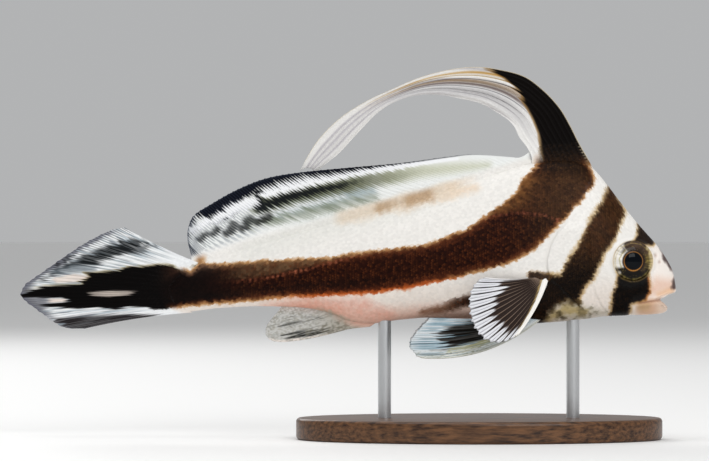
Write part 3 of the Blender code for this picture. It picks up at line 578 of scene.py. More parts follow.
class Finish:
    """A material, built by naming its nodes, their settings and what feeds their sockets."""

    def __init__(self, name, **fixed):
        self.material = bpy.data.materials.new(name)
        self.material.use_nodes = True
        self.tree = self.material.node_tree
        self.shader = self.tree.nodes["Principled BSDF"]
        for socket, value in fixed.items():
            self.shader.inputs[socket.replace("_", " ")].default_value = value

    def node(self, kind, output=0, settings=None, **values):
        made = self.tree.nodes.new("ShaderNode" + kind)
        for key, value in (settings or {}).items():
            setattr(made, key, value)
        for key, value in values.items():
            index = int(key[2:]) if key.startswith("in") and key[2:].isdigit() else key.replace("_", " ")
            if isinstance(value, Wire):
                self.tree.links.new(value.socket, made.inputs[index])
            else:
                made.inputs[index].default_value = value
        return Wire(self.tree, made.outputs[output])

    def attribute(self, name, output="Color"):
        return self.node("Attribute", output, {"attribute_name": name})

    def noise(self, scale, detail=3.0, roughness=0.5, place=None):
        place = place or self.node("TexCoord", "Object")
        return self.node("TexNoise", 0, Vector=place, Scale=scale, Detail=detail, Roughness=roughness)

    def blend(self, factor, first, second, how="MIX"):
        settings = {"data_type": "RGBA", "blend_type": how}
        return self.node("Mix", 2, settings, in0=factor, in6=first, in7=second)

    def shade(self, **wires):
        for socket, wire in wires.items():
            self.tree.links.new(wire.socket, self.shader.inputs[socket.replace("_", " ")])
        return self.material


def wet_finish(name, mottling, mix, gloss, roughness, bumps, **fixed):
    """Painted flesh: its pigment mottled, shinier where it is pale, under a fine wet grain."""
    finish = Finish(name, **fixed)
    mottle, pigment = finish.noise(*mottling), finish.attribute("paint")
    finish.shade(
        Base_Color=finish.blend(mix, pigment, mottle, "OVERLAY"),
        Roughness=roughness[0] + roughness[1] * mottle,
        Coat_Weight=gloss * finish.node("RGBToBW", Color=pigment),
        Normal=finish.node("Bump", Strength=bumps[0], Distance=bumps[1], Height=mottle),
    )
    return finish


def ring_faces(rows, around):
    """Faces of a form drawn as rings, closed by a last point before its first ring and flat at its last."""
    faces = []
    for i in range(rows - 1):
        for k in range(around):
            n = (k + 1) % around
            faces.append((i * around + k, i * around + n, (i + 1) * around + n, (i + 1) * around + k))
    faces += [(rows * around, (k + 1) % around, k) for k in range(around)]
    faces.append(tuple((rows - 1) * around + k for k in range(around)))
    return faces


SKIN_ROWS, SKIN_COLUMNS = 430, 88
skin_s = END * np.linspace(0, 1, SKIN_ROWS + 1)[1:] ** 2
grid_s, grid_g = np.meshgrid(skin_s, np.linspace(0, 1, SKIN_COLUMNS + 1), indexing="ij")
right = on_skin(grid_s, grid_g)
right[:, 0, 2] = right[:, -1, 2] = 0
left = right[:, -2:0:-1]
rings = np.concatenate([to_model(right), to_model(left, mirror=True)], axis=1)
snout = np.array([[0.0, 1.0, 0.0]])
skin_points = np.concatenate([rings.reshape(-1, 3), to_model(snout)])
skin_flat = np.concatenate([np.concatenate([right, left], axis=1).reshape(-1, 3), snout])
skin = new_piece("skin", skin_points, ring_faces(*rings.shape[:2]))
set_values(skin, "paint", flesh_colours(skin_flat[:, 0], skin_flat[:, 1]))
skin_finish = wet_finish(
    "skin_finish", (900, 4), 0.12, 0.45, (0.32, 0.2), (0.12, 0.0002),
    Coat_Roughness=0.2, Specular_IOR_Level=0.12,
)
skin.data.materials.append(skin_finish.material)
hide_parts("head", "lower_jaw", "gill_cover_right", "gill_cover_left", "trunk", "tail_stalk")
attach(skin, "root")


# Scales
# Thin bony plates in slanting rows, each rooted in the skin ahead and lying over the next ones behind.
# They are smallest on the head, and leave the lips, the jaw and the rims of the eyes bare.

SIDES = (("right", False), ("left", True))
PLATE_EDGE = [
    (0.0, -0.3), (0.3, -0.52), (0.62, -0.54), (0.9, -0.36), (1.05, 0.0), (0.9, 0.36), (0.62, 0.54),
    (0.3, 0.52), (0.0, 0.3),
]
PLATE_LONG, PLATE_WIDE, PATCH = 1.75, 1.12, 0.003
BODY_PITCH, HEAD_PITCH = (0.58, 0.56), (0.48, 0.46)
plate_along = np.array([0.55] + [p[0] for p in PLATE_EDGE] * 2)
plate_across = np.array([0.0] + [p[1] for p in PLATE_EDGE] * 2)
plate_top = np.array(
    [0.11] + [0.01 + 0.14 * p[0] for p in PLATE_EDGE] + [-0.06 + 0.09 * p[0] for p in PLATE_EDGE]
)
toward_rim = np.array([0.2] + [p[0] ** 2 for p in PLATE_EDGE] * 2)


def darkness(colours):
    """How dark the scales' colours are, from 0 to 1."""
    return 1 - np.clip(colours.max(axis=1) / 0.35, 0, 1)


def painted_plates(colours, corners, s, rims=0.45):
    """Colours of every corner of the plates. The rear edges of dark scales catch more light."""
    dark = darkness(colours)
    shade = 1 + (dice.random(len(s)) - 0.5) * (0.10 + 0.55 * dark)
    glow = rims * dark * dice.random(len(s)) ** 2 * (1 - 0.8 * fade(94, 108, s))
    glow = glow * (0.25 + 0.75 * fade(0.004, 0.018, colours.max(axis=1)))
    amber = Paint("82431f", s)
    amber.lay("644526", fade(40, 24, s))
    amber.lay("5c3a22", fade(88, 104, s))
    share = (toward_rim[None] * glow[:, None])[..., None]
    own = (0.35 * np.sqrt(colours)[:, None] + 0.65 * np.sqrt(corners)) ** 2
    return own * shade[:, None, None] * (1 - share) + amber.colours[:, None] * share


def lay_plates(name, points, painted, unwrap, mirror):
    """One joined mesh of closed plates from their corners, with the bake's patches at their roots."""
    count, corner = len(PLATE_EDGE), len(plate_along)
    plate = []
    for k in range(count):
        n = (k + 1) % count
        plate.append((0, 1 + n, 1 + k))
        plate.append((1 + k, 1 + n, 1 + count + n, 1 + count + k))
    plate.append(tuple(1 + count + k for k in range(count)))
    flat = to_model(points, mirror).reshape(-1, 3)
    faces = [tuple(base + v for v in face) for base in range(0, len(flat), corner) for face in plate]
    mesh = bpy.data.meshes.new(name)
    mesh.from_pydata(flat.tolist(), [], faces)
    if not mirror:
        mesh.flip_normals()
    mesh.shade_smooth()
    mesh.set_sharp_from_angle(angle=math.radians(38))
    coat = bpy.data.objects.new(name, mesh)
    bpy.context.scene.collection.objects.link(coat)
    set_values(coat, "paint", painted.reshape(-1, 3))
    bake = mesh.uv_layers.new(name="OFBake")
    patch = np.stack([(plate_along / 1.05 - 0.5) * PATCH, plate_across / 1.08 * PATCH], axis=1)
    uv = (unwrap[:, None] + patch[None]).reshape(-1, 2)
    loops = np.empty(len(mesh.loops), int)
    mesh.loops.foreach_get("vertex_index", loops)
    bake.data.foreach_set("uv", uv[loops].ravel())
    coat.data.materials.append(scale_finish.material)
    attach(coat, "root")


def scale_coat(name, s, g, size, mirror):
    """The scales of one stretch of the body, set on the skin by their roots."""
    roots = on_skin(s, g)
    wander = (dice.random((len(s), 2)) - 0.5) * 0.4
    colours = flesh_colours(roots[:, 0] + wander[:, 0] + 0.5, roots[:, 1] + wander[:, 1])
    tilt = (dice.random(len(s)) - 0.5) * 0.16
    grow = size * (1 + (dice.random(len(s)) - 0.5) * 0.16) * room(roots[:, 0], roots[:, 1])
    ds = grow[:, None] * (plate_along * PLATE_LONG + plate_across * tilt[:, None])
    dg = grow[:, None] * PLATE_WIDE * (plate_across - (plate_along - 0.5) * tilt[:, None])
    around = np.interp(s, table_s, girth)
    lift = plate_top * (grow * (0.3 + 0.7 * darkness(colours)))[:, None]
    opening = gill_opening(roots[:, 1])
    on_cover = (roots[:, 0] < opening) & (roots[:, 1] > -5.5)
    limit = np.where(on_cover, opening - 0.05, np.inf)
    points = on_skin(np.minimum(s[:, None] + ds, limit[:, None]), g[:, None] + dg / around[:, None], lift)
    unwrap = np.stack([0.02 + 0.95 * s / END, (0.49 * g + 0.005) if mirror else (0.995 - 0.49 * g)], axis=1)
    corners = flesh_colours(points[..., 0] + wander[:, :1], points[..., 1] + wander[:, 1:])
    lay_plates(name, points, painted_plates(colours, corners, s), unwrap, mirror)


def scale_roots(pitch_along, pitch_around, keep):
    """Roots in slanting rows, counted from the line where the body is widest."""
    found = []
    anchor = np.array([np.interp(-widest(s), -section_h[i], run[i]) for i, s in enumerate(table_s)])
    for i in range(int(END / pitch_along)):
        s = i * pitch_along
        whole, start = np.interp(s, table_s, girth), np.interp(s, table_s, anchor)
        lowest, count = math.ceil(-start / pitch_around), int(whole / pitch_around) + 2
        arcs = start + (np.arange(lowest, lowest + count) + 0.5 * (i % 2)) * pitch_around
        arcs = arcs[(arcs > 0.25) & (arcs < whole - 0.25)]
        found.append(np.column_stack([np.full(len(arcs), s), arcs / whole]))
    s, g = np.concatenate(found).T
    s = s + (dice.random(len(s)) - 0.5) * pitch_along * 0.2
    here = on_skin(s, g)
    chosen = keep(here[:, 0], here[:, 1])
    return s[chosen], g[chosen]


def bare_edge(s, h):
    """How far a place lies from the bare skin of snout, lips, jaw and eye rims."""
    mouth = over_mouth(s, h, -1.5) + 9 * fade(9.4, 12.5, s)
    eye = np.hypot(s - EYE_BEHIND, h - EYE_ABOVE) - 5.25
    snout = s - 3.6 - 1.2 * fade(3, 9, h)
    return np.minimum(np.minimum(mouth, eye), snout)


def room(s, h):
    """Scales dwindle towards bare skin and the root of the tail fin."""
    return (0.35 + 0.65 * fade(0, 2.8, bare_edge(s, h))) * (0.6 + 0.4 * fade(0, 3.5, flesh_end(h) - s))


def on_body(s, h):
    """Whether places lie behind the gill covers and ahead of the flesh's end."""
    return (s > gill_opening(h) + 0.35) & (s < flesh_end(h) - 1.0)


def on_head(s, h):
    """Whether places lie on the scaly part of the head, whose border is ragged."""
    thinned = bare_edge(s, h) - 0.9 * dice.random(len(s)) ** 2
    return (thinned > 0) & (s < gill_opening(h) - 0.5)


scale_finish = wet_finish(
    "scale_finish", (1500, 3), 0.16, 0.3, (0.35, 0.2), (0.1, 0.0001),
    Coat_Roughness=0.25, Specular_IOR_Level=0.05,
)
body_s, body_g = scale_roots(*BODY_PITCH, on_body)
head_s, head_g = scale_roots(*HEAD_PITCH, on_head)
coats = [
    ("scales_shoulder", body_s, body_g, 0.6, body_s < 38),
    ("scales_flank", body_s, body_g, 0.59, (body_s >= 38) & (body_s < 60)),
    ("scales_tail", body_s, body_g, 0.58, body_s >= 60),
    ("scales_head", head_s, head_g, 0.49, head_s > 0),
]
for label, s, g, size, chosen in coats:
    for word, mirror in SIDES:
        scale_coat(f"{label}_{word}", s[chosen], g[chosen], size, mirror)


# Eyes
# A clear, wet dome over the iris, set in a socket of the skin. The dark bands of the head run on across
# the iris, and a thin gold ring stands round the pupil, which bulges a little because the lens fills it.

EYE_OUT, EYE_RADIUS, EYE_DEPTH, EYE_LEAN, PUPIL, LENS = 4.75, 4.75, 2.2, 0.2, 2.05, 0.3
EYE_TURNS = 96


def iris_colours(radius, turn):
    """Colours by the distance from the pupil's middle and the turn, from ahead over the top."""
    x, y = np.cos(turn) * radius, np.sin(turn) * radius
    waver = grain(x, y, 0.8, 3) - 0.5
    fibres = grain(np.cos(turn) * 26, np.sin(turn) * 26 + radius * 0.6, 1.0, 4)
    flecks = grain(x, y, 0.22, 8)
    degrees = np.degrees(turn) + waver * 44 + (fibres - 0.5) * 16
    ahead, above = np.cos(np.radians(degrees - 8)), np.cos(np.radians(degrees - 68))
    behind, below = np.cos(np.radians(degrees - 168)), np.cos(np.radians(degrees + 95))
    paint = Paint("2b211b", radius)
    paint.lay_all(
        ("4d3d33", fade(0.5, 1.0, above) * fade(2.5, 3.6, radius) * (0.5 + 0.5 * fibres)),
        ("8d7b3f", fade(0.62, 1.0, ahead) * fade(2.5, 3.3, radius) * (0.35 + 0.65 * fibres)),
        ("dcc9a2", fade(0.75, 1.0, ahead) * fade(3.5, 4.2, radius) * 0.75),
        ("0e0b08", fade(0.35, 0.9, below) * 0.85),
        ("6d6330", 0.6 * fade(0.2, 0.8, below) * fade(3.5, 4.1, radius) * fade(0.3, 0.8, fibres)),
        ("ece8e0", fade(0.45, 0.95, behind) ** 1.4 * fade(2.35, 2.75, radius)),
        ("8f8240", 0.65 * fade(0.3, 0.8, behind) * bump(radius - 3.15 - 0.3 * waver, 0.13)),
        ("a89050", 0.4 * fade(0.72, 0.95, flecks) * fade(2.4, 2.8, radius)),
    )
    paint.shade(0.82 + 0.36 * fibres)
    paint.lay("b39a58", 0.55 * bump(radius - 4.1, 0.09) * (0.4 + 0.6 * flecks))
    glow = 0.75 + 0.25 * np.clip(-np.sin(turn) + np.cos(turn + 2.4), 0, 1)
    lens_rim = bump(radius - PUPIL - 0.07, 0.075 + 0.13 * np.clip(-np.sin(turn), 0, 1) ** 3)
    paint.lay("d08a3e", lens_rim * glow)
    paint.lay("02050b", fade(PUPIL + 0.02, PUPIL - 0.1, radius))
    return paint.colours


radii = np.concatenate([np.linspace(0.15, 2.3, 16), np.linspace(2.4, 4.65, 20)])
grid_r, grid_t = np.meshgrid(radii, np.linspace(0, 2 * math.pi, EYE_TURNS + 1)[:-1], indexing="ij")
dome = EYE_DEPTH * np.sqrt(np.clip(1 - (grid_r / EYE_RADIUS) ** 2, 0, 1))
dome = dome + LENS * np.sqrt(np.clip(1 - (grid_r / (PUPIL + 0.1)) ** 2, 0, 1))
dome = dome - 0.06 * bump(grid_r - PUPIL - 0.3, 0.25)
eye_s = EYE_BEHIND - grid_r * np.cos(grid_t)
eye_h = EYE_ABOVE + grid_r * np.sin(grid_t)
eye_y = EYE_OUT + EYE_LEAN * (eye_s - EYE_BEHIND) + dome
eye_points = np.stack([eye_s, eye_h, eye_y], axis=-1)
inner = eye_points[-1:].copy()
inner[..., 2] = EYE_OUT + EYE_LEAN * (inner[..., 0] - EYE_BEHIND) - 1.2
centre = np.array([[EYE_BEHIND, EYE_ABOVE, EYE_OUT + EYE_DEPTH + LENS]])
eye_points = np.concatenate([eye_points.reshape(-1, 3), inner[0], centre])
eye_colours = iris_colours(grid_r, grid_t)
eye_colours = np.concatenate([eye_colours.reshape(-1, 3), eye_colours[-1], tint("04070c")[None]])
eye_faces = ring_faces(len(radii) + 1, EYE_TURNS)
eye_finish = Finish(
    "eye_finish", Roughness=0.5, Coat_Weight=0.22, Coat_Roughness=0.02, Specular_IOR_Level=0.0
)
eye_finish.shade(Base_Color=eye_finish.attribute("paint"))
for word, mirror in SIDES:
    eye = new_piece(f"eyeball_{word}", to_model(eye_points, mirror), eye_faces)
    set_values(eye, "paint", eye_colours)
    eye.data.materials.append(eye_finish.material)
    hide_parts(f"eye_{word}")
    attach(eye, "root")


# First dorsal fin
# Thin skin over bony rays, tall and narrow, swept back in an arch from the nape to a forked tip. Its dark
# front carries the long band up; the rest is silky white and lies in folds, their shade painted grey. Small
# scales climb its root.


def through(points, count=400):
    """An evenly spaced smooth path through the points."""
    knots = np.array(points, float)
    knots = np.concatenate([[2 * knots[0] - knots[1]], knots, [2 * knots[-1] - knots[-2]]])
    place = np.linspace(0, len(points) - 1 - 1e-9, count)
    i = place.astype(int)
    t = (place - i)[:, None]
    a, b, c, d = (knots[i + k] for k in range(4))
    return 0.5 * (2 * b + (c - a) * t + (2 * a - 5 * b + 4 * c - d) * t**2 + (3 * b - a - 3 * c + d) * t**3)


def along(path, share):
    """Points at shares of the path's length."""
    steps = np.concatenate([[0], np.cumsum(np.linalg.norm(np.diff(path, axis=0), axis=1))])
    return np.stack([np.interp(share * steps[-1], steps, path[:, k]) for k in range(path.shape[1])], axis=-1)


def ray_pattern(u, v, rays, sharp=3.0):
    """1 on the crest of a ray and 0 between. The rays fork once and again towards the edge."""
    place = v * (rays - 1)
    single = (0.5 + 0.5 * np.cos(2 * math.pi * place)) ** sharp
    double = (0.5 + 0.5 * np.cos(4 * math.pi * (place - 0.25))) ** (sharp * 0.7)
    quad = (0.5 + 0.5 * np.cos(8 * math.pi * (place - 0.125))) ** (sharp * 0.5)
    fork, fork_again = fade(0.35, 0.55, u), fade(0.72, 0.88, u)
    return (single * (1 - fork) + double * fork) * (1 - fork_again) + quad * fork_again


def joints(u, count):
    """The fine cross joints of a ray: 1 at a joint, 0 between."""
    return (0.5 + 0.5 * np.cos(2 * math.pi * u * count)) ** 8


def swelling(place, reach, power=1.6):
    """1 at a fin's root, falling to 0 at a reach from it."""
    return np.clip(1 - place / reach, 0, 1) ** power


def fin_blade(name, flat_fin, out, half, colours, mirror=False):
    """A closed fin from its grid in the side view, how far it stands out, and its half thickness."""
    rows, columns = half.shape
    places = np.concatenate([flat_fin, np.broadcast_to(out, half.shape)[..., None]], axis=-1)
    normal = np.cross(np.gradient(places, axis=0), np.gradient(places, axis=1))
    normal /= np.linalg.norm(normal, axis=2)[..., None] + 1e-12
    fronts = places + normal * half[..., None]
    backs = places - normal * half[..., None]
    points = to_model(np.concatenate([fronts.reshape(-1, 3), backs.reshape(-1, 3)]), mirror)
    shift = rows * columns
    index = np.arange(shift).reshape(rows, columns)
    quads = [index[:-1, :-1], index[:-1, 1:], index[1:, 1:], index[1:, :-1]]
    quads = np.stack(quads, axis=-1).reshape(-1, 4)
    border = np.concatenate([index[0, :-1], index[:-1, -1], index[-1, :0:-1], index[:0:-1, 0]])
    after = np.roll(border, -1)
    walls = np.stack([border, border + shift, after + shift, after], axis=-1)
    piece = new_piece(name, points, np.concatenate([quads, quads[:, ::-1] + shift, walls]).tolist())
    set_values(piece, "paint", np.concatenate([colours.reshape(-1, 3)] * 2))
    piece.data.materials.append(fin_finish.material)
    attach(piece, "root")
    return piece


def at_grid(grid, u, v):
    """Values of a fin's grid at shares of its rows and columns."""
    rows, columns = grid.shape[0] - 1, grid.shape[1] - 1
    i, j = np.clip(u, 0, 1 - 1e-6) * rows, np.clip(v, 0, 1 - 1e-6) * columns
    a, b = i.astype(int), j.astype(int)
    x, y = (i - a)[..., None], (j - b)[..., None]
    near = grid[a, b] * (1 - y) + grid[a, b + 1] * y
    far = grid[a + 1, b] * (1 - y) + grid[a + 1, b + 1] * y
    return near * (1 - x) + far * x


def fin_scales(name, flat_fin, half, colours, u, v, size):
    """Small scales on both faces of a fin's root, pointing back from places on its grid of rays."""
    sheet = np.concatenate([flat_fin, half[..., None], colours], axis=-1)
    step = 1e-3
    here = at_grid(sheet, u, v)
    down_u = (at_grid(sheet, u + step, v) - here)[:, :2] / step
    down_v = (at_grid(sheet, u, v + step) - here)[:, :2] / step
    whole = down_u[:, 0] * down_v[:, 1] - down_u[:, 1] * down_v[:, 0]
    ds, dh = size[:, None] * plate_along * PLATE_LONG, size[:, None] * plate_across * PLATE_WIDE
    du = (ds * down_v[:, 1, None] - dh * down_v[:, 0, None]) / whole[:, None]
    dv = (dh * down_u[:, 0, None] - ds * down_u[:, 1, None]) / whole[:, None]
    placed = at_grid(sheet, u[:, None] + du, v[:, None] + dv)
    points, corners, tones = placed[..., :3].copy(), placed[..., -3:], here[:, -3:]
    points[..., 2] += plate_top * (size * (0.3 + 0.7 * darkness(tones)))[:, None]
    for word, mirror in SIDES:
        unwrap = np.stack([0.02 + 0.95 * v, 0.5 + (-0.45 if mirror else 0.45) * (1 - 0.8 * u)], axis=1)
        lay_plates(f"{name}_{word}", points, painted_plates(tones, corners, here[:, 0], 0.4), unwrap, mirror)


def fin_roots(rows, columns, last):
    """Places for small scales on a fin's root, in slanting rows out to a last share of its rays."""
    ranks = (np.arange(rows) + 0.5) / rows * last
    u, v = np.meshgrid(ranks, (np.arange(columns) + 0.5) / columns, indexing="ij")
    v = v + 0.5 / columns * (np.arange(rows) % 2)[:, None]
    u = u.ravel() + (dice.random(u.size) - 0.5) * 0.3 * last / rows
    v = v.ravel() + (dice.random(v.size) - 0.5) * 0.3 / columns
    kept = (v > 0.01) & (v < 0.985)
    return u[kept], v[kept]


def near_back(flat_fin, u, v, lowest, highest, spread):
    """Those places that lie near the back's line, and how far above it they are."""
    here = at_grid(flat_fin, u, v)
    rise = here[:, 1] - back(here[:, 0])
    kept = (rise > lowest) & (rise < highest - spread * dice.random(len(u)))
    return u[kept], v[kept], rise[kept]


fin_finish = wet_finish(
    "fin_finish", (1100, 3), 0.12, 0.2, (0.4, 0.15), (0.07, 0.0001),
    Coat_Roughness=0.3, Specular_IOR_Level=0.04,
)
DORSAL_LEADING = [
    (17.9, 25.6), (19.8, 29.5), (22.1, 33.6), (24.3, 38.0), (26.6, 41.8), (30.1, 45.6), (34.6, 48.9),
    (40.4, 50.5), (46.1, 51.1), (52.2, 50.4), (58.6, 48.7), (64.8, 46.1), (71.0, 43.2), (76.9, 39.4),
    (81.5, 34.9), (84.2, 30.9), (86.1, 27.4),
]
DORSAL_TRAILING = [
    (33.0, 27.4), (32.9, 30.2), (34.0, 32.6), (35.8, 35.0), (36.9, 37.3), (38.7, 39.2), (41.7, 41.1),
    (44.9, 42.8), (49.0, 43.8), (54.1, 44.7), (59.3, 44.6), (64.1, 43.2), (68.2, 40.7), (72.4, 36.5),
    (76.9, 31.6), (80.4, 28.7), (82.8, 26.7),
]
DARK_SAIL = [
    (15, 20), (15, 40), (30, 52), (43.5, 51.5), (42.0, 50.9), (39.0, 48.7), (35.8, 44.9), (33.9, 41.6),
    (32.6, 38.9), (31.5, 35.9), (30.8, 32.7), (30.4, 30.6), (29, 20),
]
grid_u, grid_v = np.meshgrid(np.linspace(0, 1, 261), np.linspace(0, 1, 121), indexing="ij")
notched = grid_u * (1 - 0.08 * grid_v * (1 - grid_v) * fade(0.8, 1, grid_u))
dense = np.linspace(0, 1, 1601)
sides = [
    np.stack([np.interp(notched, dense, path[:, k]) for k in (0, 1)], axis=-1)
    for path in (through(DORSAL_LEADING, 1601), through(DORSAL_TRAILING, 1601))
]
sail = sides[0] * (1 - grid_v[..., None]) + sides[1] * grid_v[..., None]
breadth = np.linalg.norm(sides[0] - sides[1], axis=2)
slack = np.clip(breadth / 9, 0, 1) ** 1.5
aside = 1.7 * np.clip((notched * 16 - 6) / 10, 0, 1) ** 1.3
tip_end = fade(0.62, 0.78, grid_u)
small_folds = 0.4 * np.sin(grid_v * 8.3 * 2 * math.pi - grid_u * 4) * (1 - tip_end)
folds = np.sin(grid_v * 3.4 * 2 * math.pi + grid_u * 2.5) + small_folds
folds = 0.34 * folds * slack * fade(0.2, 0.45, grid_u) * fade(0.15, 0.4, grid_v)
ridge = ray_pattern(grid_u * 0.3, grid_v, 11)
sail_half = 0.09 + 0.08 * ridge * slack * (1 - tip_end) + 0.75 * swelling(grid_u, 0.26)
sail_half = sail_half + 0.16 * bump(grid_v, 0.02)
sail_s, sail_h = sail[..., 0], sail[..., 1]
across = (grid_v - 0.5) * breadth
streak = grain(across / 1.1, grid_u * 3, 1.0, 5)
thread = grain(across / 0.4, grid_u * 4, 1.0, 6)
arch = fade(0.24, 0.36, grid_u) * fade(0.8, 0.62, grid_u)
slant = 0.12 * (grid_u - 0.5)
paint = Paint("e6e4e1", sail_s)
# grey streaks and threads along the rays and grey lines at the tip: painted shade of the folds
paint.lay("bab8b9", fade(0.42, 0.9, streak) * 0.7 * fade(0.1, 0.3, grid_u) * (1 - 0.7 * tip_end))
paint.lay("a9a4a6", fade(0.66, 0.9, thread) * 0.55 * fade(0.1, 0.3, grid_u) * (1 - tip_end))
for middle in (0.3, 0.52, 0.74):
    paint.lay("aeaab0", 0.7 * tip_end * bump(grid_v - middle - 0.1 * (0.9 - grid_u), 0.05))
for middle, wide, code, strength in (
    (0.17, 0.04, "b08033", 0.95), (0.27, 0.018, "86601f", 0.9), (0.42, 0.055, "8b6f52", 0.9),
    (0.53, 0.03, "5a4b46", 0.85), (0.36, 0.010, "2f2b33", 0.9), (0.60, 0.010, "2a2832", 0.95),
    (0.70, 0.008, "4a4750", 0.7), (0.80, 0.008, "77737a", 0.7),
):
    stripe = bump(grid_v - middle - slant * (1 - middle) - 0.02 * (streak - 0.5), wide)
    paint.lay(code, strength * stripe * arch * (0.6 + 0.4 * thread))
dark = edge_distance(DARK_SAIL, sail_s, sail_h) + (streak - 0.5) * 0.6
dark = dark + (thread - 0.5) * 1.8 * fade(0.25, 0.45, grid_u)
paint.lay_all(
    ("80581f", fade(-0.45, 0.0, dark) * 0.7),
    ("090605", fade(-0.1, 0.6, dark)),
    ("1a110c", fade(0.2, 1.0, dark) * fade(34, 28, sail_h + (thread - 0.5) * 3) * 0.9),
    ("e9d9b8", bump(grid_v, 0.014) * fade(28.5, 30, sail_h) * 0.95),
)
rise = sail_h - back(sail_s) + (streak - 0.5) * 1.5
paint.run_in(fade(2.6, -1.0, rise), sail_s, np.minimum(sail_h, back(sail_s) - 0.4))
first_dorsal = fin_blade("first_dorsal_fin", sail, folds - aside, sail_half, paint.colours)
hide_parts("first_dorsal_root", "first_dorsal_crown", "first_dorsal_arch", "first_dorsal_tip")
u, v, rise = near_back(sail, *fin_roots(26, 30, 0.13), -0.4, 6.0, 3.5)
fin_scales("scales_first_dorsal", sail, sail_half, paint.colours, u, v, 0.52 - 0.045 * rise)


# Second dorsal fin
# Long and low, of thin skin over many fine rays, rooted in the back from behind the first fin to the tail.
# Its dark margin, white bars and olive shade break up along the rays. Small scales climb its root.


def fan(root, edge, bow, rays, steps, rows, edge_share=1.0, scallop=0.006, root_share=1.0):
    """A fin in the side view, on a grid from root to edge. Bow bends its first and last rays."""
    v = np.linspace(0, 1, (rays - 1) * steps + 1)
    grid_u, grid_v = np.meshgrid(np.linspace(0, 1, rows + 1), v, indexing="ij")
    start, tip = along(root, v**root_share), along(edge, v**edge_share)
    place = v * (rays - 1)
    notch = scallop * (1 - 0.5 * np.cos(2 * math.pi * place) - 0.5 * np.cos(4 * math.pi * place))
    tip = tip + (start - tip) * notch[:, None]
    span = tip - start
    square = np.stack([-span[:, 1], span[:, 0]], axis=-1) * (bow[0] + (bow[1] - bow[0]) * v)[:, None]
    here = start + span * grid_u[..., None] + square * (4 * grid_u * (1 - grid_u))[..., None]
    return here, grid_u, grid_v


def per_ray(v, rays, seed):
    """A random number for each ray, the same all along it, that slides to the next ray's."""
    values = np.random.default_rng(seed).random(rays + 2)
    place = np.clip(v, 0, 1) * (rays - 1)
    ray = place.astype(int)
    turn_over = fade(0.2, 0.8, place - ray)
    return values[ray] * (1 - turn_over) + values[ray + 1] * turn_over


def slipped(flat_fin, slip):
    """Places moved along their rays by a slip, so that markings break up along the rays."""
    span = flat_fin[-1:] - flat_fin[:1]
    span = span / (np.linalg.norm(span, axis=2)[..., None] + 1e-9)
    return flat_fin[..., 0] + slip * span[..., 0], flat_fin[..., 1] + slip * span[..., 1]


SECOND_EDGE = [
    (33.4, 31.7), (34.6, 30.8), (36.2, 30.3), (38.4, 30.5), (46.1, 31.1), (51.8, 30.6), (63.2, 29.1),
    (74.6, 28.1), (86.1, 27.0), (94.1, 25.6), (100.9, 22.9), (106.6, 19.7), (110.5, 17.1), (111.8, 14.2),
    (111.9, 11.3), (111.1, 8.0),
]
rays = 53
root_s = np.linspace(32.0, 110.3, 300)
root = np.column_stack([root_s, back(root_s) - 1.3])
flat_fin, grid_u, grid_v = fan(root, through(SECOND_EDGE), (-0.05, -0.05), rays, 12, 74, edge_share=0.64)
fin_s, fin_h = flat_fin[..., 0], flat_fin[..., 1]
ridge = ray_pattern(grid_u, grid_v, rays)
half = 0.08 + 0.07 * ridge * fade(0.15, 0.35, grid_u) * (1 - 0.3 * joints(grid_u, 30))
half = half + 0.75 * swelling(grid_u, 0.33)
hind = fade(50, 72, fin_s)
fleck = grain(grid_v * 150, grid_u * 5, 1.0, 9)
comb = np.abs(2 * ((2 * grid_v * (rays - 1)) % 1) - 1)
slip = ((per_ray(grid_v, rays * 2, 3) - 0.5) * 1.1 + (fleck - 0.5) * 0.8 + (comb - 0.5) * 1.3) * hind
lean_s, lean_h = slipped(flat_fin, slip)
paint = Paint("eceeec", fin_s)
haze = grain(grid_v * 90, grid_u * 4, 1.0, 15)
# cream and blue fields, a drab streak and white over them, the olive shade, the black streak, the white bar
for code, strength, soft, line in (
    ("c6c8b2", 0.85, (-1.6, 1.0), [(43, 28.6, 0.3), (50, 28.0, 0.8), (58.6, 27.2, 1.2), (66, 25.8, 1.4)]),
    ("8fa4ae", 0.6, (-1.4, 0.6), [
        (69.6, 22.6, 0.4), (75, 21.9, 0.8), (80.6, 20.6, 1.1), (86, 19.6, 1.2), (92, 18.0, 1.3),
    ]),
    ("767f6c", 0.4 + 0.5 * haze, (-1.7, 0.8), [
        (69, 21.2, 0.3), (75, 20.0, 0.8), (80.6, 18.8, 1.0), (86, 17.7, 1.0), (92, 16.5, 0.9),
        (97, 15.2, 0.7),
    ]),
    ("f1f3f6", 0.9, (-0.8, 0.4), [(76, 21.6, 0.1), (84, 19.9, 0.5), (92, 18.2, 0.7), (96, 16.6, 0.5)]),
    ("63674d", 0.92 * fade(54, 76, fin_s), (-1.4, 0.6), [
        (56, 27.7, 0.3), (64, 26.1, 1.0), (69.6, 25.2, 1.3), (75, 24.2, 1.3), (80.6, 23.0, 1.4),
        (86, 21.8, 1.4), (92, 20.2, 1.3), (96, 19.6, 1.6),
    ]),
    ("15181a", 0.97 * fade(68, 78, fin_s), (-0.5, 0.6), [
        (71, 25.2, 0.2), (78, 23.7, 0.7), (86, 21.9, 1.0), (92, 20.2, 1.1), (95.6, 18.9, 1.2),
        (96, 22.4, 0.9),
    ]),
    ("f6f7f9", 1, (-0.45, 0.2), [
        (50, 30.1, 0.2), (58.6, 29.1, 0.45), (64.1, 28.2, 0.6), (69.6, 27.5, 0.7), (75.1, 26.6, 0.75),
        (80.6, 25.6, 0.95), (86.1, 24.5, 1.2), (91.6, 23.1, 1.35), (94.6, 22.0, 0.8),
    ]),
):
    paint.brush(code, strength, soft, line, lean_s, lean_h)
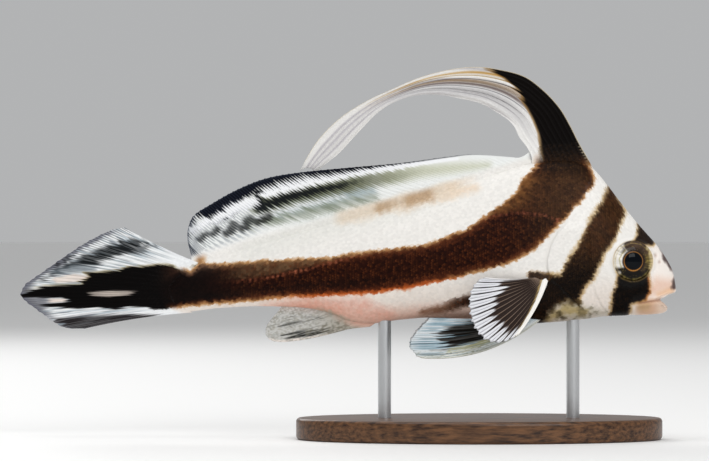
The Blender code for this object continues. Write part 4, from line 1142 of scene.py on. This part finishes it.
for spot in (
    [(109.3, 11.6, 0.45), (107.6, 12.6, 0.55)], [(106.0, 12.8, 0.55), (105.0, 13.7, 0.6)],
    [(102.8, 13.0, 0.8), (101.2, 14.6, 0.9)], [(99.2, 14.1, 0.8), (97.4, 15.8, 0.9)],
    [(95.6, 15.4, 0.7), (93.4, 16.8, 0.7)],
):
    blot = stroke(spot, fin_s + 0.6 * (lean_s - fin_s), fin_h + 0.6 * (lean_h - fin_h))
    paint.lay("171816", 0.95 * fade(-0.75, 0.35, blot) * (1 - 0.3 * ridge) * (0.8 + 0.2 * haze))
margin_width = smooth_line([
    (34, -0.3), (44, 0.0), (50, 0.12), (64, 0.28), (70, 0.5), (75, 0.95), (80.6, 1.2), (86, 1.3),
    (91.6, 1.8), (95.4, 2.2), (99.2, 3.0), (102.5, 4.3), (105.3, 3.5), (108, 2.0), (110.5, 0.6),
    (112, -0.1),
])
outline = [tuple(p) for p in through(SECOND_EDGE, 90)] + [(111, 0), (33, 0)]
depth = edge_distance(outline, fin_s, fin_h)
teeth = (per_ray(grid_v, rays * 2, 5) - 0.5) * 0.9 + (fleck - 0.5) * 0.6 + (0.5 - comb) * 2.0
margin = margin_width(fin_s) + 0.2 * fade(60, 80, fin_s) - depth + teeth * fade(54, 92, fin_s)
paint.lay_all(
    ("0b0e17", fade(-0.25, 0.25, margin)),
    ("46516a", 0.42 * fade(-0.1, 0.4, margin) * fade(0.6, 0.95, comb) * fade(64, 84, fin_s)),
    ("4b5260", 0.45 * fade(0.5, 0.1, depth) * fade(75, 90, fin_s)),
)
blob = [
    (96.6, 20.4, 0.9), (99, 19.4, 1.5), (101.5, 18.0, 1.3), (104, 16.8, 1.0), (108, 15.0, 0.8),
    (110.8, 13.6, 0.6),
]
paint.brush("f5f6f8", 1, (-0.35, 0.25), blob, lean_s, lean_h)
pale_rear = fade(92, 100, fin_s) * fade(7.0, 2.5, fin_h - back(fin_s) - 4) * (margin < 0)
paint.lay("5f6a78", 0.3 * pale_rear * fade(0.45, 0.1, ridge))
paint.lay("6d7585", 0.4 * fade(108.5, 111, fin_s) * (1 - ridge))
paint.shade(1 - 0.16 * fade(0.35, 0.0, ridge) * hind * fade(0.25, 0.5, grid_u))
tan = [(47, 23.8, 0.3), (56, 22.0, 0.7), (66, 19.7, 0.8), (76, 16.8, 0.5)]
paint.brush("d6a673", 0.3, (-2.0, 0.6), tan, fin_s, fin_h, (grain(fin_s, fin_h, 4.5, 1) - 0.5) * 1.5)
paint.lay("f3f1ee", fade(3.2, 0.8, fin_h - back(fin_s)) * fade(84, 92, fin_s))
paint.run_in(fade(2.2, 0.4, fin_h - back(fin_s)), fin_s, np.minimum(fin_h, back(fin_s) - 0.4))
second_dorsal = fin_blade("second_dorsal", flat_fin, 0, half, paint.colours)
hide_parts("second_dorsal_fin")
u, v, rise = near_back(flat_fin, *fin_roots(15, 150, 0.48), -0.35, 3.6, 1.2)
fin_scales("scales_second_dorsal", flat_fin, half, paint.colours, u, v, 0.5 - 0.3 * fade(0.5, 3.4, rise))


# Tail fin
# Spear-shaped, of thin skin over bony rays, which start on the rounded end of the flesh under small scales.
# The long band runs out to its tip between white fields and dark streaks.

CAUDAL_EDGE = [
    (126.3, 14.3), (129.5, 13.7), (135.2, 10.9), (140.4, 7.5), (145.5, 3.9), (148.3, 2.0), (149.6, 0.8),
    (150.2, -0.5), (150.1, -1.6), (149.2, -2.6), (146.0, -5.0), (142.1, -7.8), (139.5, -8.8),
    (135.5, -8.9),
]
CAUDAL_ROOT = [
    (109.4, 6.2), (111.0, 4.5), (113.4, 2.4), (114.4, 0.2), (113.8, -2.2), (112.2, -4.2), (110.8, -5.2),
]
CAUDAL_DARK = [
    (106, 6.6), (110.2, 5.6), (111.6, 3.9), (113.2, 4.3), (115.3, 5.6), (118.4, 5.8), (121.9, 5.4),
    (126.1, 5.2), (128.5, 4.3), (135.4, 3.9), (134.4, 3.2), (136.9, 1.3), (140.8, 1.1), (144.6, 0.8),
    (148.5, -0.2), (151, -0.8), (151, -1.9), (146.6, -1.8), (143.6, -1.8), (140.8, -1.9), (139.4, -2.3),
    (141.2, -2.8), (144.4, -3.1), (146.2, -3.7), (141.6, -4.1), (136.9, -4.5), (132.3, -4.1),
    (128.4, -4.7), (125.3, -4.1), (121.5, -4.1), (119.5, -4.6), (116.5, -4.6), (111.8, -3.3),
    (106, -2.8),
]
rays = 17
flat_fin, grid_u, grid_v = fan(
    through(CAUDAL_ROOT), through(CAUDAL_EDGE), (-0.02, 0.02), rays, 24, 110, scallop=0.005
)
fin_s, fin_h = flat_fin[..., 0], flat_fin[..., 1]
ridge = ray_pattern(grid_u, grid_v, rays)
half = 0.10 + 0.09 * ridge * (1 - 0.4 * grid_u) * fade(0.05, 0.2, grid_u) * (1 - 0.3 * joints(grid_u, 26))
half = half + 0.35 * swelling(grid_u, 0.35, 1.5)
fleck = grain(grid_v * 110, grid_u * 4, 1.0, 9)
fine_fleck = grain(grid_v * 190, grid_u * 7, 1.0, 11)
slip = (per_ray(grid_v, rays * 4, 13) - 0.5) * 0.8 + (fleck - 0.5) * 2.2 + (fine_fleck - 0.5) * 2.2
lean_s, lean_h = slipped(flat_fin, slip)
paint = Paint("eef0f1", fin_s)
paint.lay("9fadb6", 0.7 * fade(0.5, 0.85, fleck) * fade(0.2, 0.5, grid_u))
paint.lay("5d6670", 0.6 * fade(0.66, 0.9, fine_fleck) * fade(0.3, 0.6, grid_u))
grey = [
    (121.6, 11.0, 0.3), (125.4, 10.3, 1.5), (130, 8.6, 1.5), (134.4, 6.9, 1.3), (138.6, 6.0, 0.7),
    (142.4, 3.9, 0.35), (145, 2.0, 0.2),
]
paint.brush("1b1e20", 0.74 + 0.26 * fade(0.35, 0.6, fine_fleck), (-0.6, 0.6), grey, lean_s, lean_h)
upper = [(119, 10.4, 0.1), (123, 9.2, 0.7), (127.5, 8.2, 0.3)]
paint.brush("3b3d3f", 0.6, (-0.5, 0.4), upper, lean_s, lean_h)
dusk = [(133, 5.0, 0.4), (138, 4.8, 1.0), (142.6, 4.2, 0.6)]
paint.brush("667077", 0.7, (-0.8, 0.7), dusk, fin_s + slip * 0.5, fin_h)
paint.brush("7d7e87", 0.8, (-0.7, 0.6), [(140.8, 6.6, 0.9), (143.2, 5.2, 0.6)], fin_s, fin_h)
rim = np.hypot(*(flat_fin - flat_fin[-1:]).transpose(2, 0, 1))
low_margin = fade(3.0, 0.9, rim + slip * 0.4) * fade(0.52, 0.6, grid_v) * fade(0.85, 0.7, grid_v)
paint.lay("6a6a70", 0.8 * low_margin)
low = [
    (119, -6.1, 0.3), (125.4, -6.8, 1.2), (130, -7.3, 1.5), (135, -7.6, 1.7), (139, -7.8, 1.4),
    (142, -7.0, 0.5),
]
paint.brush("252122", 0.72 + 0.28 * fade(0.3, 0.65, fine_fleck), (-0.5, 0.5), low, lean_s, lean_h)
paint.brush("e2d1c6", 0.8, (-0.3, 0.3), [(140, -2.4, 0.4), (143.5, -2.5, 0.5)], fin_s, fin_h)
tip_shade = fade(142.8, 145.0, fin_s + slip * 0.3) * fade(-1.2, -1.9, fin_h) * fade(-4.6, -3.4, fin_h)
paint.lay("77777d", 0.85 * tip_shade)
light = [(134.6, 2.8, 0.5), (138, 2.7, 1.0), (142, 2.2, 0.7)]
paint.brush("eadcd2", 0.9, (-0.3, 0.4), light, fin_s + slip * 0.4, fin_h)
edge_grey = fade(0.03, 0.12, grid_v) * (1 - 0.75 * fade(0.72, 0.84, grid_v))
paint.lay("6c6d78", 0.85 * fade(1.5, 0.4, rim + slip * 0.4) * edge_grey)
comb = fade(0.5, 0.05, ridge) * fade(3.4, 1.2, rim + slip * 0.5) * fade(0.6, 0.5, grid_v)
paint.lay("2c2d33", 0.55 * comb * (0.5 + 0.5 * fine_fleck))
paint.brush("2b2c30", 0.8, (-0.3, 0.4), [(138.6, 7.9, 0.4), (142.2, 5.6, 0.5)], lean_s, lean_h)
dark_h = fin_h + (fine_fleck - 0.5) * 0.5
dark = edge_distance(CAUDAL_DARK, fin_s + slip * 0.6 * fade(118, 128, fin_s), dark_h)
paint.lay_all(
    ("8f7c4c", fade(-0.5, 0.05, dark) * 0.65 * fade(-1, 2, fin_h)),
    ("060404", fade(-0.12, 0.35, dark)),
    ("42271a", fade(0.1, 0.8, dark) * fade(120, 112, fin_s) * fade(-1, 3.5, fin_h) * 0.85),
)
pale = [
    (123.8, -0.4, 0.1), (126.4, -0.7, 0.55), (129.4, -0.95, 0.8), (132.6, -0.95, 0.55), (134.8, -0.8, 0.1),
]
paint.brush("d8cbc0", 0.55 + 0.45 * fine_fleck, (-0.25, 0.25), pale, fin_s + slip * 0.9, dark_h)
paint.shade(1 - 0.25 * fade(0.3, 0.0, ridge) * fade(0.2, 0.5, grid_u))
paint.run_in(fade(0.14, 0.03, grid_u) * fade(0.06, 0.14, grid_v), fin_s, fin_h)
caudal = fin_blade("tail_fin", flat_fin, 0, half, paint.colours)
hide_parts("caudal_fin")
u, v = fin_roots(16, 25, 0.26)
fin_scales("scales_tail_fin", flat_fin, half, paint.colours, u, v, 0.5 - 1.15 * u)


# Anal fin
# Small, of thin skin over ten bony rays, rooted in the belly behind the vent and laid back almost level.
# It is grey, streaked along its rays, with a white lower edge.

ANAL_EDGE = [
    (70.0, -8.45), (75.8, -9.2), (81.5, -10.7), (86.0, -11.6), (90.6, -12.0), (93.2, -11.4),
    (94.1, -9.6), (93.4, -7.6), (90.8, -4.5),
]
rays = 10
root_s = np.linspace(67.5, 90.0, 100)
root = np.column_stack([root_s, belly(root_s) + 1.1])
flat_fin, grid_u, grid_v = fan(
    root, through(ANAL_EDGE), (-0.02, -0.02), rays, 22, 70, edge_share=0.6, root_share=2.0
)
fin_s, fin_h = flat_fin[..., 0], flat_fin[..., 1]
ridge = ray_pattern(grid_u, grid_v, rays)
half = 0.08 + 0.07 * ridge * (1 - 0.4 * grid_u) * (1 - 0.3 * joints(grid_u, 20))
below = belly(fin_s) - fin_h
half = half + 0.7 * swelling(below + 1.1, 2.6)
fleck = grain(grid_v * 60, grid_u * 4, 1.0, 4)
speckle = grain(fin_s, fin_h, 0.4, 16)
paint = Paint("c6c5c1", fin_s)
paint.lay("94958f", 0.6 * fade(0.45, 0.85, fleck))
paint.lay("9a9688", 0.5 * fade(0.5, 0.9, speckle))
between = fade(0.3, 0, ridge) * fade(0.25, 0.5, grid_u) * fade(1, 0.85, grid_u)
paint.lay("55575a", 0.45 * between * fade(0.3, 0.7, fleck) * (1 - 0.8 * fade(0.5, 0.7, grid_v)))
for line, strength in (
    ([(81, -6.4, 0.02), (84, -6.2, 0.1), (88.3, -6.2, 0.02)], 0.5),
    ([(81.4, -6.5, 0.05), (86, -7.4, 0.15), (91.2, -8.4, 0.05)], 0.6),
    ([(79.9, -8.9, 0.05), (85, -9.7, 0.25), (90.4, -10.5, 0.1)], 0.8),
    ([(79.5, -9.4, 0.1), (84, -10.2, 0.4), (88.5, -11.0, 0.25), (90, -11.2, 0.05)], 0.95),
):
    paint.brush("232422", strength, (-0.25, 0.2), line, fin_s, fin_h, (fleck - 0.5) * 0.4)
lower_rim = [(79, -10.1, 0.1), (86, -11.3, 0.25), (90.6, -11.9, 0.3), (93.4, -11.2, 0.1)]
paint.brush("ece2da", 0.9, (-0.25, 0.15), lower_rim, fin_s, fin_h)
paint.lay("9d927c", 0.5 * fade(84, 75, fin_s + (speckle - 0.5) * 3))
freckles = [(74, -7.4, 0.6), (80, -8.9, 1.3), (84, -9.9, 0.5)]
paint.brush("6d685a", 0.65 * fade(0.45, 0.7, speckle), (-1.0, 0.6), freckles, fin_s, fin_h)
paint.lay("8b8980", 0.5 * fade(0.5, 0.75, grain(fin_s, fin_h, 0.3, 27)))
foot = fade(1.6, -0.1, below) * (1 - 0.85 * fade(72, 80, fin_s))
paint.run_in(foot, fin_s, belly(fin_s) + 0.6)
anal = fin_blade("anal_fin_blade", flat_fin, 0, half, paint.colours)
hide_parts("anal_fin")


# Pelvic fins
# A pair under the chest, of thin skin over seven bony rays, rooted in the belly and folded back along it.
# A strong white ray leads each one.

PELVIC_ROOT = [(31.3, -6.9), (34.6, -6.6)]
PELVIC_EDGE = [(57.6, -15.5), (59.2, -15.2), (60.9, -13.3), (60.9, -11.7), (59.6, -9.6), (56.6, -6.4)]
PELVIC_DARK = [
    (38, -8.6), (44, -7.4), (46.5, -6.6), (49.7, -7.8), (53.2, -8.8), (53.8, -10.5), (53.4, -12.6),
    (50.4, -12.9), (46.2, -11.6), (43.3, -11.2), (40.5, -10.5), (37.6, -9.4),
]
rays = 7
flat_fin, grid_u, grid_v = fan(through(PELVIC_ROOT, 50), through(PELVIC_EDGE), (-0.10, 0), rays, 36, 110)
fin_s, fin_h = flat_fin[..., 0], flat_fin[..., 1]
out = 2.3 + 1.0 * grid_v * (1 - grid_u) + 4.4 * grid_u**0.8
ridge = ray_pattern(grid_u, grid_v, rays)
half = 0.09 + 0.10 * ridge * (1 - 0.5 * grid_u) * (1 - 0.3 * joints(grid_u, 30))
half = half + 0.5 * swelling(grid_u, 0.25) + 0.14 * bump(grid_v, 0.04) * (1 - grid_u)
fleck = grain(grid_v * 42, grid_u * 4, 1.0, 5)
fine_fleck = grain(grid_v * 90, grid_u * 12, 1.0, 7)
slip = (per_ray(grid_v, rays * 6, 33) - 0.5) * 4.0 + (fleck - 0.5) * 4.0
lean_s, lean_h = slipped(flat_fin, slip)
paint = Paint("dde3e6", fin_s)
paint.lay("7a9dae", 0.7 * fade(0.35, 0.75, fleck) * (1 - fade(0.9, 1.0, grid_u) * 0.6))
paint.lay("2b4653", 0.6 * fade(0.66, 0.88, grain(grid_v * 50, grid_u * 5, 1.0, 6)) * fade(0.25, 0.5, grid_u))
dark = edge_distance(PELVIC_DARK, lean_s, lean_h) + (fine_fleck - 0.5) * 1.2
paint.lay("15110d", fade(-0.5, 0.6, dark) * (0.8 + 0.2 * fade(0.3, 0.7, fleck)))
paint.lay("5f8496", 0.45 * fade(0.0, 0.8, dark) * fade(0.6, 0.95, ridge) * fade(0.4, 0.8, fleck))
green = [(39, -10.2, 0.3), (44.5, -12.1, 0.45), (48.3, -13.1, 0.5), (52, -13.9, 0.3)]
paint.brush("b4b27e", 0.75, (-0.3, 0.3), green, fin_s, fin_h, (fine_fleck - 0.5) * 1.2)
paint.lay("ece6d6", 0.95 * bump(grid_v, 0.17) * (0.7 + 0.3 * fine_fleck))
specks = grain(grid_v * 60, grid_u * 60, 1.0, 14)
paint.lay("6a6c4a", 0.6 * bump(grid_v - 0.12, 0.12) * fade(0.62, 0.85, specks) * fade(0.25, 0.5, grid_u))
paint.shade(1 - 0.2 * fade(0.35, 0, ridge))
for word, mirror in SIDES:
    pelvic = fin_blade(f"pelvic_blade_{word}", flat_fin, out, half, paint.colours, mirror)
    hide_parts(f"pelvic_fin_{word}")


# Pectoral fins
# A pair of fans, of thin skin over bony rays, rooted behind the gill openings and held off the flanks.
# The inner half is dark between fine pale rays, the outer half white, and a thick white ray leads the fan.

PECTORAL_ROOT = [(31.4, 2.9), (29.4, 2.4)]
PECTORAL_EDGE = [
    (43.9, 3.0), (45.8, 2.2), (47.2, 0.3), (47.8, -2.0), (47.7, -4.9), (46.7, -8.3), (44.6, -10.9),
    (42.2, -11.8), (40.3, -11.7), (38.4, -11.0), (36.6, -9.9),
]
PECTORAL_DARK = [
    (28.0, 3.6), (33.7, 2.9), (38.8, 2.1), (39.6, 1.0), (39.6, 0.2), (40.6, -1.2), (41.6, -2.9),
    (41.4, -4.4), (41.5, -6.2), (40.6, -7.4), (40.4, -8.9), (38.3, -9.0), (35.1, -7.5), (30.0, -3),
    (27, 0),
]
rays = 16
flat_fin, grid_u, grid_v = fan(
    through(PECTORAL_ROOT, 50), through(PECTORAL_EDGE), (-0.03, -0.04), rays, 24, 80, scallop=0.018
)
fin_s, fin_h = flat_fin[..., 0], flat_fin[..., 1]
upper, lower = np.array(PECTORAL_ROOT)
start = upper + (lower - upper) * grid_v[..., None]
share = (start[..., 1] - widest(start[..., 0])) / (belly(start[..., 0]) - widest(start[..., 0]))
wall = half_width(start[..., 0]) * (1 - np.clip(share, 0, 1) ** 2.4) ** (1 / 2.2)
out = wall - 0.9 + (4.2 + 4.3 * grid_v) * grid_u**0.85
single = 0.5 + 0.5 * np.cos(2 * math.pi * grid_v * (rays - 1))
ridge = ray_pattern(grid_u * 0.75, grid_v, rays)
from_lead = np.hypot(*(flat_fin - flat_fin[:, -1:]).transpose(2, 0, 1))
lead = fade(1.4, 1.15, from_lead)
out = out + 0.06 * (single - 0.5) * fade(0.1, 0.4, grid_u)
half = 0.07 + 0.08 * ridge * (1 - 0.4 * grid_u) * (1 - 0.3 * joints(grid_u, 24)) * (1 - lead)
half = half + 0.4 * swelling(grid_u, 0.2)
half = half + 0.3 * bump(from_lead - 0.7, 0.5) * (1 - 0.6 * grid_u)
fleck = grain(grid_v * 60, grid_u * 5, 1.0, 12)
slip = (per_ray(grid_v, rays, 43) - 0.5) * 2.2 + (fleck - 0.5) * 1.4 - 3.6 * (1 - single) ** 3
lean_s, lean_h = slipped(flat_fin, slip)
paint = Paint("e4e5e9", fin_s)
paint.lay(
    "1f1b1d",
    fade(0.28, 0.03, single) * fade(0.3, 0.45, grid_u) * 0.95 * (1 - 0.5 * fade(0.85, 1, grid_u)),
)
inner = fade(-0.5, 0.5, edge_distance(PECTORAL_DARK, lean_s, lean_h))
paint.lay_all(
    ("2e2420", inner),
    ("55505a", 0.35 * fade(0.85, 1.0, single) * fade(0.6, 0.8, grid_u) * (1 - inner)),
    ("96806f", inner * fade(0.85, 0.98, single) * 0.8),
)
gilt = bump(from_lead - 1.45 - 0.5 * (fleck - 0.5), 0.2) * fade(0.9, 0.7, grid_u)
paint.lay_all(
    ("c9ad6c", gilt * (0.5 + 0.5 * fleck)),
    ("f7f4ee", lead),
    ("f2f0ee", fade(0.05, 0.0, grid_v) * fade(0.2, 0.5, grid_u) * 0.8),
)
for word, mirror in SIDES:
    pectoral = fin_blade(f"pectoral_blade_{word}", flat_fin, out, half, paint.colours, mirror)
    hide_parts(f"pectoral_fin_{word}")


# Stand base
# An oval cut from dark walnut, its edge rounded and all of it varnished. It isn't in the photograph.
# It rests on the floor, and the two rods are set into it.

BASE_LONG, BASE_WIDE, BASE_THICK, BASE_PLACE = 0.084, 0.046, 0.005, 0.0301
bpy.ops.object.select_all(action="DESELECT")
bpy.ops.mesh.primitive_cylinder_add(
    vertices=128, radius=BASE_WIDE / 2, depth=BASE_THICK, location=(BASE_PLACE, 0, BASE_THICK / 2)
)
base = bpy.context.active_object
base.name = "walnut_base"
base.scale = (BASE_LONG / BASE_WIDE, 1, 1)
bpy.ops.object.transform_apply(location=True, rotation=True, scale=True)
edge = base.modifiers.new("edge", "BEVEL")
edge.width = 0.0009
edge.segments = 5
edge.angle_limit = math.radians(50)
bpy.ops.object.modifier_apply(modifier="edge")
bpy.ops.object.shade_smooth_by_angle(angle=math.radians(40))
walnut = Finish("walnut_varnish", Coat_Weight=0.2, Coat_Roughness=0.15, Specular_IOR_Level=0.25)
place = walnut.node("TexCoord", "Object")
grain_lines = walnut.noise(9, 6, 0.62, walnut.node("Mapping", Vector=place, Scale=(18, 160, 160)))
pores = walnut.noise(40, 3, 0.5, walnut.node("Mapping", Vector=place, Scale=(10, 120, 120)))
streaks = walnut.node("MapRange", Value=grain_lines, From_Min=0.35, From_Max=0.65)
wood = walnut.blend(streaks, (0.030, 0.012, 0.005, 1), (0.20, 0.090, 0.036, 1))
wood = walnut.blend(0.35 * pores, wood, (0.012, 0.006, 0.004, 1))
wood_bump = walnut.node("Bump", Strength=0.12, Distance=0.0001, Height=pores)
base.data.materials.clear()
base.data.materials.append(walnut.shade(Base_Color=wood, Roughness=0.28 + 0.2 * pores, Normal=wood_bump))
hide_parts("stand_base")
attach(base, "root")


# Stand rods
# Two round rods of brushed steel, which hold the fish up at the throat and at the belly.
# Each is set into the base, and its top goes a little way into the body.

ROD_RADIUS, ROD_FOOT = 0.0015, 0.0025
steel = Finish("brushed_steel", Metallic=1.0, Base_Color=(0.56, 0.57, 0.58, 1))
brushed = steel.node("Mapping", Vector=steel.node("TexCoord", "Object"), Scale=(300, 300, 4500))
hair = steel.noise(1.0, 2, 0.5, brushed)
steel.shade(
    Roughness=0.24 + 0.2 * hair, Normal=steel.node("Bump", Strength=0.1, Distance=0.00005, Height=hair)
)
for word, behind in (("front", 23.5), ("rear", 66.7)):
    top = (AXIS + float(belly(behind)) + 0.5) * 0.001
    bpy.ops.object.select_all(action="DESELECT")
    place = ((LENGTH / 2 - behind) * 0.001, 0, (top + ROD_FOOT) / 2)
    bpy.ops.mesh.primitive_cylinder_add(vertices=48, radius=ROD_RADIUS, depth=top - ROD_FOOT, location=place)
    rod = bpy.context.active_object
    rod.name = f"steel_rod_{word}"
    bpy.ops.object.transform_apply(location=True, rotation=True, scale=True)
    bpy.ops.object.shade_smooth_by_angle(angle=math.radians(40))
    rod.data.materials.clear()
    rod.data.materials.append(steel.material)
    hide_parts(f"stand_rod_{word}")
    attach(rod, "root")


low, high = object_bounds()
